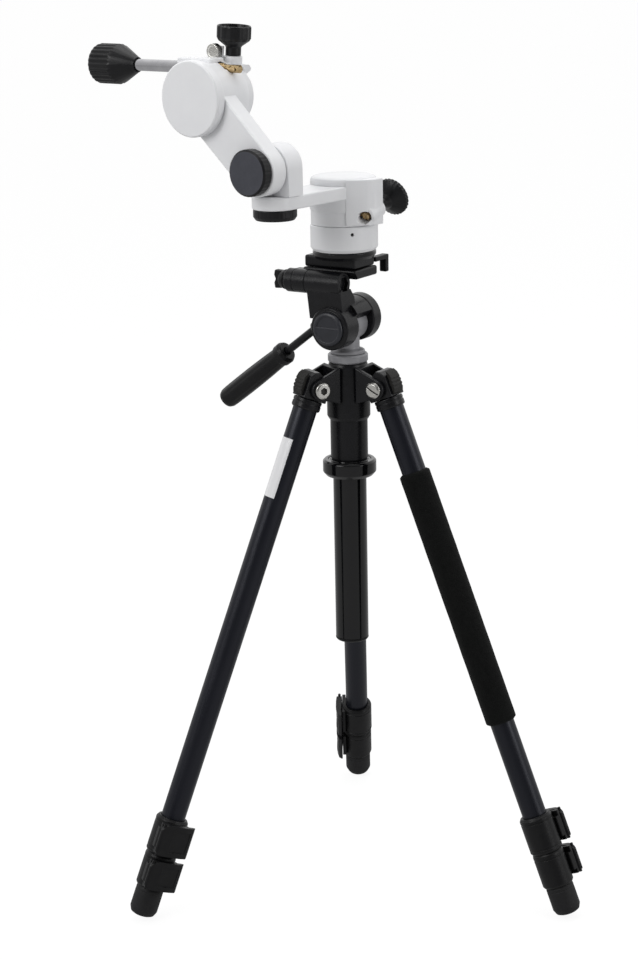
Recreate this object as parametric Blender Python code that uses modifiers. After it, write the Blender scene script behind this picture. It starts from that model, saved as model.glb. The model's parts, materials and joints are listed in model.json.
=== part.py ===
"""Alt-azimuth mount on a three-leg camera tripod.

+Z is up, the feet stand on z = 0 and the whole object is centred in plan.
The rear leg points to +Y.  A two-way pan head sits on the centre column and
carries the alt-azimuth head: a lower arm that turns on the azimuth axis, an
elbow, an upper arm and a saddle that turns on the altitude axis.

Lengths are millimetres and angles degrees; MM turns lengths into metres.
Pieces that move together hang on an empty placed on their joint's axis.
"""
import math

import bmesh
import bpy
from mathutils import Matrix, Vector

MM = 0.001
MERGE_DISTANCE = 0.000005       # metres
GAP = 0.3                       # clearance between neighbouring pieces

# from the column's axis to the centre of the whole object's plan, feet on z = 0
ROOT = Matrix.Translation(Vector((10.5552, -58.3453, -4.6709)) * MM)

# ------------------------------------------------------------------ scene
for old in list(bpy.data.objects):
    bpy.data.objects.remove(old, do_unlink=True)

PARTS = bpy.data.collections.new("alt_azimuth_mount")
CUTTERS = bpy.data.collections.new("cutters")
bpy.context.scene.collection.children.link(PARTS)
bpy.context.scene.collection.children.link(CUTTERS)

# name: (base colour, roughness, metallic)
FINISHES = {
    "white_paint": ((0.86, 0.86, 0.88), 0.28, 0.0),
    "black_plastic": ((0.018, 0.018, 0.020), 0.38, 0.0),
    "black_casting": ((0.022, 0.022, 0.026), 0.42, 0.0),
    "leg_anodised": ((0.022, 0.024, 0.036), 0.30, 0.85),
    "grip_foam": ((0.014, 0.014, 0.014), 0.92, 0.0),
    "foot_rubber": ((0.016, 0.016, 0.016), 0.80, 0.0),
    "grey_alloy": ((0.36, 0.36, 0.38), 0.42, 0.7),
    "steel": ((0.66, 0.65, 0.62), 0.25, 1.0),
    "chrome": ((0.72, 0.72, 0.73), 0.10, 1.0),
    "brass": ((0.62, 0.42, 0.18), 0.30, 1.0),
    "slate_face": ((0.055, 0.062, 0.080), 0.50, 0.0),
}


def make_material(name, color, roughness, metallic):
    material = bpy.data.materials.new(name)
    material.use_nodes = True
    inputs = material.node_tree.nodes["Principled BSDF"].inputs
    inputs["Base Color"].default_value = (*color, 1.0)
    inputs["Roughness"].default_value = roughness
    inputs["Metallic"].default_value = metallic
    material.diffuse_color = (*color, 1.0)
    return material


MATERIALS = {name: make_material(name, *values) for name, values in FINISHES.items()}


# ------------------------------------------------------------------ frames
def axes(origin, x, y, z):
    frame = Matrix((x, y, z)).transposed().to_4x4()
    frame.translation = Vector(origin) * MM
    return frame


def turn(degrees, axis):
    return Matrix.Rotation(math.radians(degrees), 4, axis)


def shift(x, y, z):
    return Matrix.Translation((x * MM, y * MM, z * MM))


# local x, y, z run along the outer frame's Y, Z, X
FACING_X = axes((0, 0, 0), Vector((0, 1, 0)), Vector((0, 0, 1)), Vector((1, 0, 0)))


# ------------------------------------------------------------------ objects
WORLD = {}                      # object name: its world matrix


def place(obj, frame, parent):
    """Put obj at a world frame and keep it there under its parent."""
    obj.matrix_basis = frame
    WORLD[obj.name] = frame.copy()
    if parent is not None:
        obj.parent = parent
        obj.matrix_parent_inverse = WORLD[parent.name].inverted()


def empty(name, frame, parent=None):
    obj = bpy.data.objects.new(name, None)
    obj.empty_display_size = 0.02
    PARTS.objects.link(obj)
    place(obj, frame, parent)
    return obj


def add(name, mesh, frame, finish, parent):
    """Add a piece, or a hidden helper for a boolean when finish is None."""
    obj = bpy.data.objects.new(name, mesh)
    (PARTS if finish else CUTTERS).objects.link(obj)
    place(obj, frame, parent)
    if finish:
        mesh.materials.append(MATERIALS[finish])
    else:
        obj.hide_render = True
        obj.display_type = "WIRE"
    return obj


def bevel_edges(obj, width):
    bevel = obj.modifiers.new("Bevel", "BEVEL")
    bevel.width = width * MM
    bevel.segments = 1
    bevel.limit_method = "ANGLE"
    bevel.angle_limit = math.radians(35.0)


def lathe(name, profile, frame, finish=None, parent=None, steps=16, closed=False):
    """Turn a profile of (radius, height) points about the frame's Z."""
    mesh = bpy.data.meshes.new(name)
    bm = bmesh.new()
    verts = [bm.verts.new((radius * MM, 0.0, z * MM)) for radius, z in profile]
    for start, end in zip(verts, verts[1:]):
        bm.edges.new((start, end))
    if closed:
        bm.edges.new((verts[-1], verts[0]))
    bm.to_mesh(mesh)
    bm.free()
    obj = add(name, mesh, frame, finish, parent)
    screw = obj.modifiers.new("Screw", "SCREW")
    screw.axis = "Z"
    screw.angle = math.tau
    screw.steps = screw.render_steps = steps
    screw.use_merge_vertices = True
    screw.merge_threshold = MERGE_DISTANCE
    screw.use_smooth_shade = True
    return obj


def bar_profile(radius, low, high, chamfer=0.0):
    """Profile of a plain round bar, from its top down."""
    if not chamfer:
        return [(0, high), (radius, high), (radius, low), (0, low)]
    return [(0, high), (radius - chamfer, high), (radius, high - chamfer),
            (radius, low + chamfer), (radius - chamfer, low), (0, low)]


def round_bar(name, radius, low, high, frame, steps=16, chamfer=0.0):
    """Round helper for a boolean."""
    return lathe(name, bar_profile(radius, low, high, chamfer), frame, steps=steps)


def block(name, low, high, frame, finish=None, parent=None, bevel=0.0):
    """Box between two opposite corners."""
    mesh = bpy.data.meshes.new(name)
    bm = bmesh.new()
    bmesh.ops.create_cube(bm, size=1.0)
    for vert in bm.verts:
        for i in range(3):
            vert.co[i] = (low[i] if vert.co[i] < 0 else high[i]) * MM
    bm.to_mesh(mesh)
    bm.free()
    obj = add(name, mesh, frame, finish, parent)
    if bevel:
        bevel_edges(obj, bevel)
    return obj


def prism(name, outline, low, high, frame, finish=None, parent=None, bevel=0.0):
    """Fill an outline of (x, y) points and extrude it from z low to high."""
    curve = bpy.data.curves.new(name + "_outline", "CURVE")
    curve.dimensions = "2D"
    curve.fill_mode = "BOTH"
    curve.extrude = (high - low) / 2 * MM
    spline = curve.splines.new("POLY")
    spline.points.add(len(outline) - 1)
    for point, (x, y) in zip(spline.points, outline):
        point.co = (x * MM, y * MM, 0.0, 1.0)
    spline.use_cyclic_u = True
    source = bpy.data.objects.new(name + "_outline", curve)
    CUTTERS.objects.link(source)
    bpy.context.view_layer.update()
    mesh = bpy.data.meshes.new_from_object(
        source.evaluated_get(bpy.context.evaluated_depsgraph_get()))
    bpy.data.objects.remove(source, do_unlink=True)
    bpy.data.curves.remove(curve)
    bm = bmesh.new()
    bm.from_mesh(mesh)
    bmesh.ops.remove_doubles(bm, verts=bm.verts, dist=MERGE_DISTANCE)
    bmesh.ops.recalc_face_normals(bm, faces=bm.faces)
    bmesh.ops.translate(bm, verts=bm.verts, vec=(0, 0, (low + high) / 2 * MM))
    bm.to_mesh(mesh)
    bm.free()
    mesh.materials.clear()
    obj = add(name, mesh, frame, finish, parent)
    if bevel:
        bevel_edges(obj, bevel)
    return obj


def arc(x, y, radius, start, end, count):
    """Points of an arc in count equal steps, angles in degrees."""
    angles = [math.radians(start + (end - start) * i / count) for i in range(count + 1)]
    return [(x + radius * math.cos(a), y + radius * math.sin(a)) for a in angles]


def boolean(obj, operation, helpers):
    for helper in helpers:
        modifier = obj.modifiers.new(operation.title(), "BOOLEAN")
        modifier.operation = operation
        modifier.solver = "EXACT"
        modifier.object = helper


def join(obj, *helpers):
    boolean(obj, "UNION", helpers)


def cut(obj, *helpers):
    boolean(obj, "DIFFERENCE", helpers)


def trim(obj, *helpers):
    boolean(obj, "INTERSECT", helpers)


# ------------------------------------------------------------------ shoulder
LEG_AZIMUTHS = {"left": 210.0, "right": -30.0, "rear": 90.0}
PIVOT_R, PIVOT_Z = 40.0, 539.9  # leg hinge axis
PIN_BORE_R = 3.2
HUB_TOP, HUB_BOTTOM = 562.4, 503.5
SLEEVE_R, SLEEVE_BOTTOM = 19.2, 461.0
BORE_R = 17.6
EAR_IN, EAR_OUT = 13.2, 17.5    # half-widths of a leg's fork

shoulder = lathe("shoulder", [
    (19.4, HUB_TOP), (20.2, 559.5), (21.4, 547.0), (22.2, 522.0), (22.2, 507.0),
    (20.2, HUB_BOTTOM), (SLEEVE_R, HUB_BOTTOM), (SLEEVE_R, SLEEVE_BOTTOM),
    (BORE_R, SLEEVE_BOTTOM), (BORE_R, HUB_TOP)],
    ROOT, "black_casting", steps=24, closed=True)

# fork from the side: (distance from the column's axis, height from the hinge)
FORK_OUTLINE = ([(18.2, -17.0), (31.0, -12.5)]
                + arc(PIVOT_R, 0, 10.6, -80, 64, 6)
                + [(18.2, 21.0)])

for side, azimuth in LEG_AZIMUTHS.items():
    join(shoulder, prism(
        "arm_" + side, FORK_OUTLINE, -EAR_OUT, EAR_OUT,
        ROOT @ turn(azimuth, "Z") @ shift(0, 0, PIVOT_Z) @ turn(90, "X")))
for side, azimuth in LEG_AZIMUTHS.items():
    radial = ROOT @ turn(azimuth, "Z")
    cut(shoulder,
        block("slot_" + side, (22.3, -EAR_IN, PIVOT_Z - 40),
              (70, EAR_IN, PIVOT_Z + 45), radial),
        round_bar("pin_bore_" + side, PIN_BORE_R, -30, 30,
                  radial @ shift(PIVOT_R, 0, PIVOT_Z) @ turn(90, "X"), steps=10))
cut(shoulder, round_bar("column_bore", BORE_R, 440, 580, ROOT, steps=24))

# ------------------------------------------------------------------ column
COLUMN_R, COLUMN_IN = 17.2, 15.5
COLUMN_TOP, COLUMN_BOTTOM = HUB_TOP + GAP, 268.0
COLUMN_CEILING = 556.0          # top of the hollow
COLLAR_R = 27.6
COLLAR_TOP, COLLAR_BOTTOM = SLEEVE_BOTTOM - GAP, 443.5
END_CAP_TOP = COLUMN_BOTTOM - GAP    # of the cap's flange

lathe("centre_column",
      [(0, COLUMN_TOP), (COLUMN_R, COLUMN_TOP), (COLUMN_R, COLUMN_BOTTOM),
       (COLUMN_IN, COLUMN_BOTTOM), (COLUMN_IN, COLUMN_CEILING),
       (0, COLUMN_CEILING)],
      ROOT, "black_casting", steps=24)
lathe("column_end_cap",
      [(0, 281.0), (15.1, 281.0), (15.1, END_CAP_TOP), (17.3, END_CAP_TOP),
       (17.3, 266.2), (15.9, 264.5), (0, 264.5)],
      ROOT, "black_plastic")
lathe("column_collar",
      [(25.1, COLLAR_TOP), (COLLAR_R, COLLAR_TOP - 2.5),
       (COLLAR_R, COLLAR_BOTTOM + 4.5), (23.4, COLLAR_BOTTOM),
       (BORE_R, COLLAR_BOTTOM), (BORE_R, COLLAR_TOP)],
      ROOT, "black_plastic", steps=24, closed=True)

# ------------------------------------------------------------------ legs
# Stations along a tube are heights from the hinge in the leg's own frame,
# whose X points outboard, Y around the tripod and Z up the leg.
LEG_SPLAY = 21.74               # leg angle from the vertical
LEG_AXIS_X = 2.261              # tube axis, outboard of the hinge axis
UPPER_R, UPPER_IN = 12.5, 11.75
MID_R, MID_IN = 11.3, 10.45
LOW_R, LOW_IN = 10.1, 9.2
SOCKET_R = UPPER_R + GAP
TUBE_TOP, TUBE_END = -13.6, -475.99
MID_TOP, LOW_TOP, LOW_FLOOR = -65.0, -85.0, -553.0
UPPER_CLAMP_R, LOWER_CLAMP_R = 17.0, 16.3
UPPER_CLAMP = (-465.09, -504.09)     # top, bottom
LOWER_CLAMP = (UPPER_CLAMP[1] - GAP, -541.09)
BOOT_TOP, BOOT_BOTTOM = LOWER_CLAMP[1] - GAP, -572.09
BOOT_R = 14.4
FOAM_TOP, FOAM_BOTTOM = -91.99, -362.99
FOAM_R = 16.0
LEVER_X, LEVER_Y = 17.5, 20.7   # lever pin, from the tube axis
LEVER_TIP, LEVER_END = -19.5, 20.6   # extent of the lever's face along X
LEVER_LOW_ROUND, LEVER_HIGH_ROUND = 6.0, 10.0

# seen from the side: (outboard, up the leg), from the hinge
CASTING_OUTLINE = ([(1.7, 14.6)] + arc(0, 0, 12.6, 100, 200, 5)
                   + [(-11.6, -12.2), (14.6, -12.2), (14.6, 9.5), (10.4, 15.0),
                      (5.7, 16.8)])
TAB_OUTLINE = [(14.9, -11.0), (17.2, -9.5), (19.2, -4.0), (19.4, 4.5), (17.8, 10.5),
               (14.9, 14.5)]
# seen along the tube: (x, y) from the tube axis
LEVER_OUTLINE = (arc(LEVER_X, LEVER_Y, 3.0, -90, 90, 4)
                 + [(-6.0, 24.0), (-16.0, 22.0), (-18.5, 18.5), (-16.0, 17.7)])


def leg_frames(azimuth):
    """Frames on the hinge: the splayed leg's, and the level bolt's (Z along it)."""
    angle, splay = math.radians(azimuth), math.radians(LEG_SPLAY)
    outward = Vector((math.cos(angle), math.sin(angle), 0))
    around = Vector((-math.sin(angle), math.cos(angle), 0))
    up = Vector((0, 0, 1))
    origin = outward * PIVOT_R + up * PIVOT_Z
    hinge = ROOT @ axes(origin, outward * math.cos(splay) + up * math.sin(splay),
                        around, up * math.cos(splay) - outward * math.sin(splay))
    return hinge, ROOT @ axes(origin, up, outward, around)


def hinge_bolt(side, frame):
    """Bolt through both ears and the casting, with a hex socket."""
    bolt = lathe(side + "_hinge_bolt",
                 [(0, 21.8), (7.2, 21.8), (8.3, 20.6), (8.3, 17.8), (2.9, 17.8),
                  (2.9, -17.8), (8.3, -17.8), (8.3, -20.4), (6.6, -21.8),
                  (0, -21.8)],
                 frame, "steel", steps=12)
    cut(bolt, round_bar(side + "_hex", 4.0, 19.4, 25.0, frame, steps=6))


def leg_casting(side, side_on, tube, pivot):
    casting = prism(side + "_leg_casting", CASTING_OUTLINE, -12.9, 12.9, side_on,
                    "black_casting", pivot, bevel=1.0)
    join(casting, lathe(side + "_collar",
                        [(0, -10.0), (8, -10.0), (8, -12.6), (14.8, -12.6),
                         (14.8, -21.6), (13.8, -23.0), (0, -23.0)], tube))
    cut(casting,
        round_bar(side + "_socket", SOCKET_R, -40, TUBE_TOP + GAP, tube),
        round_bar(side + "_bolt_bore", PIN_BORE_R, -30, 30, side_on, steps=10))


def upper_clamp(side, tube, pivot):
    top, low = UPPER_CLAMP
    radius, inner = UPPER_CLAMP_R, MID_R + 0.35
    return lathe(side + "_upper_clamp",
                 [(15.4, top), (radius, top - 2.2), (radius, low + 1.8),
                  (radius - 1.2, low), (inner, low), (inner, TUBE_END - GAP),
                  (SOCKET_R, TUBE_END - GAP), (SOCKET_R, top)],
                 tube, "black_plastic", pivot, closed=True)


def mid_section(side, tube, pivot):
    """Middle tube with the lower clamp at its end."""
    top, low = LOWER_CLAMP
    radius = LOWER_CLAMP_R
    return lathe(side + "_mid_section",
                 [(MID_R, MID_TOP), (MID_R, top), (15.0, top),
                  (radius, top - 2.2), (radius, low + 2.0), (radius - 1.2, low),
                  (MID_IN, low), (MID_IN, MID_TOP)],
                 tube, "black_plastic", pivot, closed=True)


def clamp_lever(side, level, body, top, low, tube, pivot):
    """Flat on the clamp's body, and the flip lever lying over it."""
    join(body, block(side + level + "_clamp_flat", (-12.5, 13.4, low + 3.5),
                     (18.5, 17.3, top - 3.5), tube))
    pin = empty(side + "_" + level + "_lever_pin", tube @ shift(LEVER_X, LEVER_Y, 0),
                pivot)
    bottom, ceiling = low + 3.0, top - 3.0
    name = side + "_" + level + "_lever"
    lever = prism(name, LEVER_OUTLINE, bottom, ceiling, tube, "black_plastic", pin)
    low_round, high_round = LEVER_LOW_ROUND, LEVER_HIGH_ROUND
    face = ([(LEVER_TIP, ceiling), (LEVER_TIP, bottom)]
            + arc(LEVER_END - low_round, bottom + low_round, low_round, -90, 0, 3)
            + arc(LEVER_END - high_round, ceiling - high_round, high_round, 0, 90, 4))
    trim(lever, prism(name + "_face", face, -30.0, -12.0, tube @ turn(90, "X")))
    bevel_edges(lever, 0.8)


def lower_section(side, tube, pivot):
    """Lower tube and its foot in one piece."""
    lathe(side + "_lower_section",
          [(0, LOW_FLOOR), (LOW_IN, LOW_FLOOR), (LOW_IN, LOW_TOP), (LOW_R, LOW_TOP),
           (LOW_R, BOOT_TOP), (13.6, BOOT_TOP), (BOOT_R, BOOT_TOP - 2.2),
           (BOOT_R, BOOT_BOTTOM + 4.0), (12.6, BOOT_BOTTOM), (0, BOOT_BOTTOM)],
          tube, "foot_rubber", pivot)


def foam_grip(side, tube, pivot):
    lathe(side + "_foam_grip",
          [(15.0, FOAM_TOP), (FOAM_R, FOAM_TOP - 1.2), (FOAM_R, FOAM_BOTTOM + 1.2),
           (15.0, FOAM_BOTTOM), (SOCKET_R, FOAM_BOTTOM), (SOCKET_R, FOAM_TOP)],
          tube, "grip_foam", pivot, closed=True)


def build_leg(side, azimuth):
    hinge, bolt_frame = leg_frames(azimuth)
    pivot = empty(side + "_leg_hinge", hinge)
    tube = hinge @ shift(LEG_AXIS_X, 0, 0)
    side_on = hinge @ turn(90, "X")
    hinge_bolt(side, bolt_frame)
    leg_casting(side, side_on, tube, pivot)
    prism(side + "_angle_tab", TAB_OUTLINE, -8.5, 8.5, side_on, "black_plastic",
          pivot, bevel=1.0)
    lathe(side + "_upper_tube",
          [(UPPER_R, TUBE_TOP), (UPPER_R, TUBE_END), (UPPER_IN, TUBE_END),
           (UPPER_IN, TUBE_TOP)], tube, "leg_anodised", pivot, closed=True)
    clamp_lever(side, "upper", upper_clamp(side, tube, pivot), *UPPER_CLAMP, tube, pivot)
    clamp_lever(side, "lower", mid_section(side, tube, pivot), *LOWER_CLAMP, tube, pivot)
    lower_section(side, tube, pivot)
    if side == "right":
        foam_grip(side, tube, pivot)


for side, azimuth in LEG_AZIMUTHS.items():
    build_leg(side, azimuth)

# ------------------------------------------------------------------ pan head
# X of the pan frame is the tilt axis, Y the side-tilt axis
PAN_AZIMUTH = 238.9
PAN_BASE_BOTTOM, PAN_BASE_TOP = COLUMN_TOP + GAP, 571.8
STEM_BOTTOM = PAN_BASE_TOP + GAP
TILT_Z = 602.0
BARREL_R, BARREL_HALF = 17.0, 12.5
TILT_BODY_R, TILT_BODY_END = 22.0, 35.8
DRUM_R, DRUM_DROP = 24.0, -4.0  # rear drum, its axis above the tilt axis
DRUM_CAP_START = TILT_BODY_END + GAP
SIDE_X, SIDE_Z = 26.0, 647.0    # side-tilt axis
KNUCKLE_R, SIDE_BORE_R = 12.0, 4.4
HANDLE_AT = (22.0, -18.9, 0.3)  # from the tilt axis
HANDLE_DIRECTION = Vector((0.0, -0.798, -0.603)).normalized()

pan = ROOT @ turn(PAN_AZIMUTH, "Z")
tilt = pan @ shift(0, 0, TILT_Z)
tilt_x = tilt @ turn(90, "Y")   # Z is the tilt axis, X points down
side_tilt = pan @ shift(SIDE_X, 0, SIDE_Z) @ turn(-90, "X")   # Z is pan +Y
handle_x = Vector((1, 0, 0))
handle = tilt @ axes(HANDLE_AT, handle_x, HANDLE_DIRECTION.cross(handle_x),
                     HANDLE_DIRECTION)

pan_pin = empty("pan_axis", pan)
tilt_pin = empty("tilt_axis", tilt, pan_pin)
grip_pin = empty("handle_axis", handle, tilt_pin)
side_pin = empty("side_tilt_axis", side_tilt, tilt_pin)

lathe("pan_base",
      [(0, PAN_BASE_TOP), (19.2, PAN_BASE_TOP), (20.5, 570.4), (20.5, 564.4),
       (19.4, PAN_BASE_BOTTOM), (0, PAN_BASE_BOTTOM)],
      ROOT, "grey_alloy", steps=24)

# stem with a cross barrel on the tilt axis
stem = lathe("pan_stem",
             [(0, 600.0), (12.2, 600.0), (12.2, 575.6), (16.8, 575.4),
              (17.5, 574.8), (17.5, STEM_BOTTOM), (0, STEM_BOTTOM)],
             pan, "grey_alloy", pan_pin, steps=20)
join(stem, round_bar("stem_barrel", BARREL_R, -BARREL_HALF, BARREL_HALF, tilt_x,
                     steps=20, chamfer=1.0))

# tilting body: a drum each side of the stem, a web over it, a neck and a knuckle
body = lathe("tilt_body",
             [(0, TILT_BODY_END), (20.6, TILT_BODY_END), (TILT_BODY_R, 34.4),
              (TILT_BODY_R, 13.0), (0, 13.0)],
             tilt_x, "black_casting", tilt_pin, steps=24)
# in tilt_x, 180 degrees is up
WEB_OUTLINE = arc(0, 0, 17.6, 115, 245, 8) + arc(DRUM_DROP, 0, 23.4, 245, 115, 10)
# seen along pan Y: (pan x, height from the tilt axis)
NECK_OUTLINE = [(6.0, 19.5), (8.0, 30.0), (15.0, 39.0), (31.0, 41.0), (35.0, 37.0),
                (33.0, 26.0), (30.0, 8.0), (14.0, 8.0), (14.0, 19.5)]
join(body,
     lathe("rear_drum",
           [(0, -13.0), (22.6, -13.0), (DRUM_R, -14.6), (DRUM_R, -27.0),
            (19.5, -33.0), (0, -33.0)],
           tilt_x @ shift(DRUM_DROP, 0, 0), steps=24),
     prism("web", WEB_OUTLINE, -15.0, 15.0, tilt_x),
     prism("neck", NECK_OUTLINE, -14.0, 26.0, tilt @ turn(90, "X")),
     round_bar("knuckle", KNUCKLE_R, -27.7, 13.0, side_tilt, steps=20, chamfer=1.0))
cut(body,
    round_bar("knuckle_hex", 8.0, 9.0, 16.0, side_tilt, steps=6),
    round_bar("knuckle_bore", SIDE_BORE_R, -40.0, 4.0, side_tilt, steps=10))
join(body, round_bar("handle_boss", 7.2, -8.0, 7.5, handle, steps=14, chamfer=1.0))
cut(body, round_bar("handle_bore", 3.4, -4.0, 20.0, handle, steps=10))

lathe("drum_cap",
      [(0, 39.4), (14.5, 39.4), (17.2, 38.2), (17.2, DRUM_CAP_START),
       (0, DRUM_CAP_START)],
      tilt_x, "slate_face", tilt_pin, steps=20)

lathe("handle_rod",
      [(0, 62.0), (3.0, 62.0), (3.0, 52.0), (4.2, 50.0), (4.2, 8.0), (3.0, 7.8),
       (3.0, -3.0), (0, -3.0)],
      handle, "black_casting", grip_pin, steps=14)
lathe("handle_grip",
      [(0, 150.0), (8.5, 150.0), (10.6, 147.0), (11.3, 115.0), (10.3, 78.0),
       (10.4, 62.0), (11.6, 60.0), (11.9, 54.0), (10.0, 50.4), (4.6, 50.4),
       (4.6, 56.0), (3.4, 56.0), (3.4, 63.0), (0, 63.0)],
      handle, "black_plastic", grip_pin)

# ------------------------------------------------------------------ platform and shoe
PLATE_BOTTOM, PLATE_TOP = 650.5, 660.0
SHOE_BOTTOM, SHOE_TOP = PLATE_TOP + GAP, 672.0
SHOE_DISC_R, SHOE_DISC_TOP = 32.0, 677.7
RELEASE_X, RELEASE_Y = -29.5, 16.0
# the shoe's screw, and so the azimuth axis, sits off the column's axis
shoe_screw = ROOT @ shift(-1.8, -0.1, 0)

plate = block("platform", (-24.0, -40.5, PLATE_BOTTOM), (19.0, 22.0, PLATE_TOP),
              pan, "black_casting", side_pin, bevel=1.5)
join(plate,
     block("plate_web", (6.0, -53.0, 646.0), (30.0, -28.0, 657.0), pan),
     round_bar("plate_barrel", KNUCKLE_R, -54.0, -28.0, side_tilt, steps=20,
               chamfer=1.0))
cut(plate,
    round_bar("plate_clear", KNUCKLE_R + 0.5, -27.9, 30.0, side_tilt, steps=20),
    round_bar("plate_bore", SIDE_BORE_R, -70.0, -20.0, side_tilt, steps=10))

# side-tilt lock: a stud with a wing across its end
# wing in its own plane: (across the axis, along the axis)
WING_OUTLINE = [(-9.5, -68.0), (-4.0, -69.0), (0, -67.0), (4.0, -69.0),
                (9.5, -68.0), (9.0, -60.0), (5.5, -57.0), (-5.5, -57.0),
                (-9.0, -60.0)]
lever_pin = empty("side_lock_axis", side_tilt, side_pin)
wing_lever = lathe("side_tilt_lever",
                   [(0, 2.0), (4.0, 2.0), (4.0, -54.3), (9.6, -54.3),
                    (10.2, -56.0), (7.0, -62.0), (0, -62.0)],
                   side_tilt, "black_plastic", lever_pin, steps=12)
join(wing_lever, prism("wing", WING_OUTLINE, -3.2, 3.2,
                       side_tilt @ turn(90, "Z") @ turn(90, "X")))

shoe = block("quick_shoe", (-22.0, -39.5, SHOE_BOTTOM), (17.0, 20.0, SHOE_TOP),
             pan, "black_casting", side_pin, bevel=1.5)
join(shoe, lathe("shoe_disc",
                 [(0, SHOE_DISC_TOP), (SHOE_DISC_R - 1.0, SHOE_DISC_TOP),
                  (SHOE_DISC_R, SHOE_DISC_TOP - 1.0),
                  (SHOE_DISC_R, SHOE_TOP + 1.5), (29.0, SHOE_TOP - 2.0),
                  (0, SHOE_TOP - 2.0)],
                 shoe_screw, steps=24))

# release lever: a flat bar with a finger hanging from its end
release_pin = empty("shoe_release_axis", pan @ shift(RELEASE_X, RELEASE_Y, PLATE_TOP),
                    side_pin)
release = block("shoe_release", (-50.0, 12.0, 662.5), (-24.4, 20.0, 667.5), pan,
                "black_plastic", release_pin, bevel=0.8)
join(release, block("hook_finger", (-50.0, 12.0, 649.5), (-44.0, 20.0, 666.0), pan))

# ------------------------------------------------------------------ worm gearing
TEETH, TOOTH_DEPTH = 48, 1.1
WORM_SIDES = 10


def gear(name, tip_radius, low, high, frame, parent):
    outline = []
    for i in range(TEETH):
        for offset, radius in ((0.0, tip_radius - TOOTH_DEPTH), (0.5, tip_radius)):
            angle = math.tau * (i + offset) / TEETH
            outline.append((radius * math.cos(angle), radius * math.sin(angle)))
    return prism(name, outline, low, high, frame, "brass", parent)


def worm(name, root_radius, crest_radius, pitch, low, high, start, end, frame, parent,
         rows_per_turn):
    """Shaft with a helical thread from z low to high.

    start and end are the (radius, z) of the plain shaft's two ends.  The
    thread is a grid of rings whose radius follows the helix.
    """
    rows = int(round((high - low) / pitch * rows_per_turn))
    rings = [[start] * WORM_SIDES, [(start[0], low - 0.01)] * WORM_SIDES]
    for i in range(rows + 1):
        z = low + (high - low) * i / rows
        fade = min(1.0, min(i, rows - i) / rows_per_turn)
        ring = []
        for j in range(WORM_SIDES):
            phase = (z / pitch - j / WORM_SIDES) % 1.0
            ridge = max(0.0, 1.0 - abs(phase - 0.5) * 4.0)
            ring.append((root_radius + (crest_radius - root_radius) * ridge * fade, z))
        rings.append(ring)
    rings += [[(end[0], high + 0.01)] * WORM_SIDES, [end] * WORM_SIDES]

    mesh = bpy.data.meshes.new(name)
    bm = bmesh.new()
    verts = [[bm.verts.new((radius * math.cos(math.tau * j / WORM_SIDES) * MM,
                            radius * math.sin(math.tau * j / WORM_SIDES) * MM, z * MM))
              for j, (radius, z) in enumerate(ring)] for ring in rings]
    for lower_ring, upper_ring in zip(verts, verts[1:]):
        for j in range(WORM_SIDES):
            k = (j + 1) % WORM_SIDES
            bm.faces.new((lower_ring[j], lower_ring[k], upper_ring[k], upper_ring[j]))
    bm.faces.new(list(reversed(verts[0])))
    bm.faces.new(verts[-1])
    bmesh.ops.recalc_face_normals(bm, faces=bm.faces)
    bm.to_mesh(mesh)
    bm.free()
    add(name, mesh, frame, "brass", parent)


# ------------------------------------------------------------------ azimuth
# X of the mount frame runs along the lower arm; heights are from the column's zero
MOUNT_AZIMUTH = 232.9
PUCK_BOTTOM, PUCK_TOP = SHOE_DISC_TOP + GAP, 708.0
HEAD_R = 34.0                   # puck and lower arm's disc
SKIRT_BOTTOM = PUCK_TOP + GAP
SKIRT_R, SKIRT_IN = 33.2, 30.6
SKIRT_CEILING, RING_Z, DISC_TOP = 728.0, 720.5, 737.2
CAP_R = 33.0
CAP_BOTTOM, CAP_TOP = DISC_TOP + GAP, 749.5
SLAB_BOTTOM, SLAB_TOP = 731.5, 744.8
SLAB_START, SLAB_BEND = 29.5, 60.0
ELBOW_X, ELBOW_Z = 107.0, 769.5
STUD_R = 4.1                    # of both elbow knobs
STUD_BORE_R = STUD_R + GAP
AZ_WORM_TILT = 18.7             # the knob's shaft rises this much towards -X
AZ_WORM_AT = (12.0, 35.3, 713.9)

mount = shoe_screw @ turn(MOUNT_AZIMUTH, "Z")
az_pin = empty("azimuth_axis", mount)

# fixed base
puck = lathe("base_puck",
             [(0, PUCK_TOP), (33.2, PUCK_TOP), (HEAD_R, PUCK_TOP - 0.8),
              (HEAD_R, PUCK_BOTTOM + 3.0), (31.5, PUCK_BOTTOM), (0, PUCK_BOTTOM)],
             mount, "white_paint", steps=26)
cut(puck,
    round_bar("clutch_bore", 9.3, PUCK_TOP - 14, PUCK_TOP + 5, mount),
    round_bar("set_screw_hole", 1.6, 26.0, 40.0,
              mount @ shift(0, 0, 697) @ turn(52, "Z") @ turn(90, "Y"), steps=10))

wheel = gear("azimuth_wheel", 29.4, 714.0, 725.5, mount, az_pin)
join(wheel, round_bar("wheel_hub", 8.9, PUCK_TOP - 13.6, 715.0, mount))

worm_rise = math.radians(AZ_WORM_TILT)
worm_z = Vector((-math.cos(worm_rise), 0, math.sin(worm_rise)))
worm_x = Vector((0, 1, 0))
az_worm = mount @ axes(AZ_WORM_AT, worm_x, worm_z.cross(worm_x), worm_z)

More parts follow.
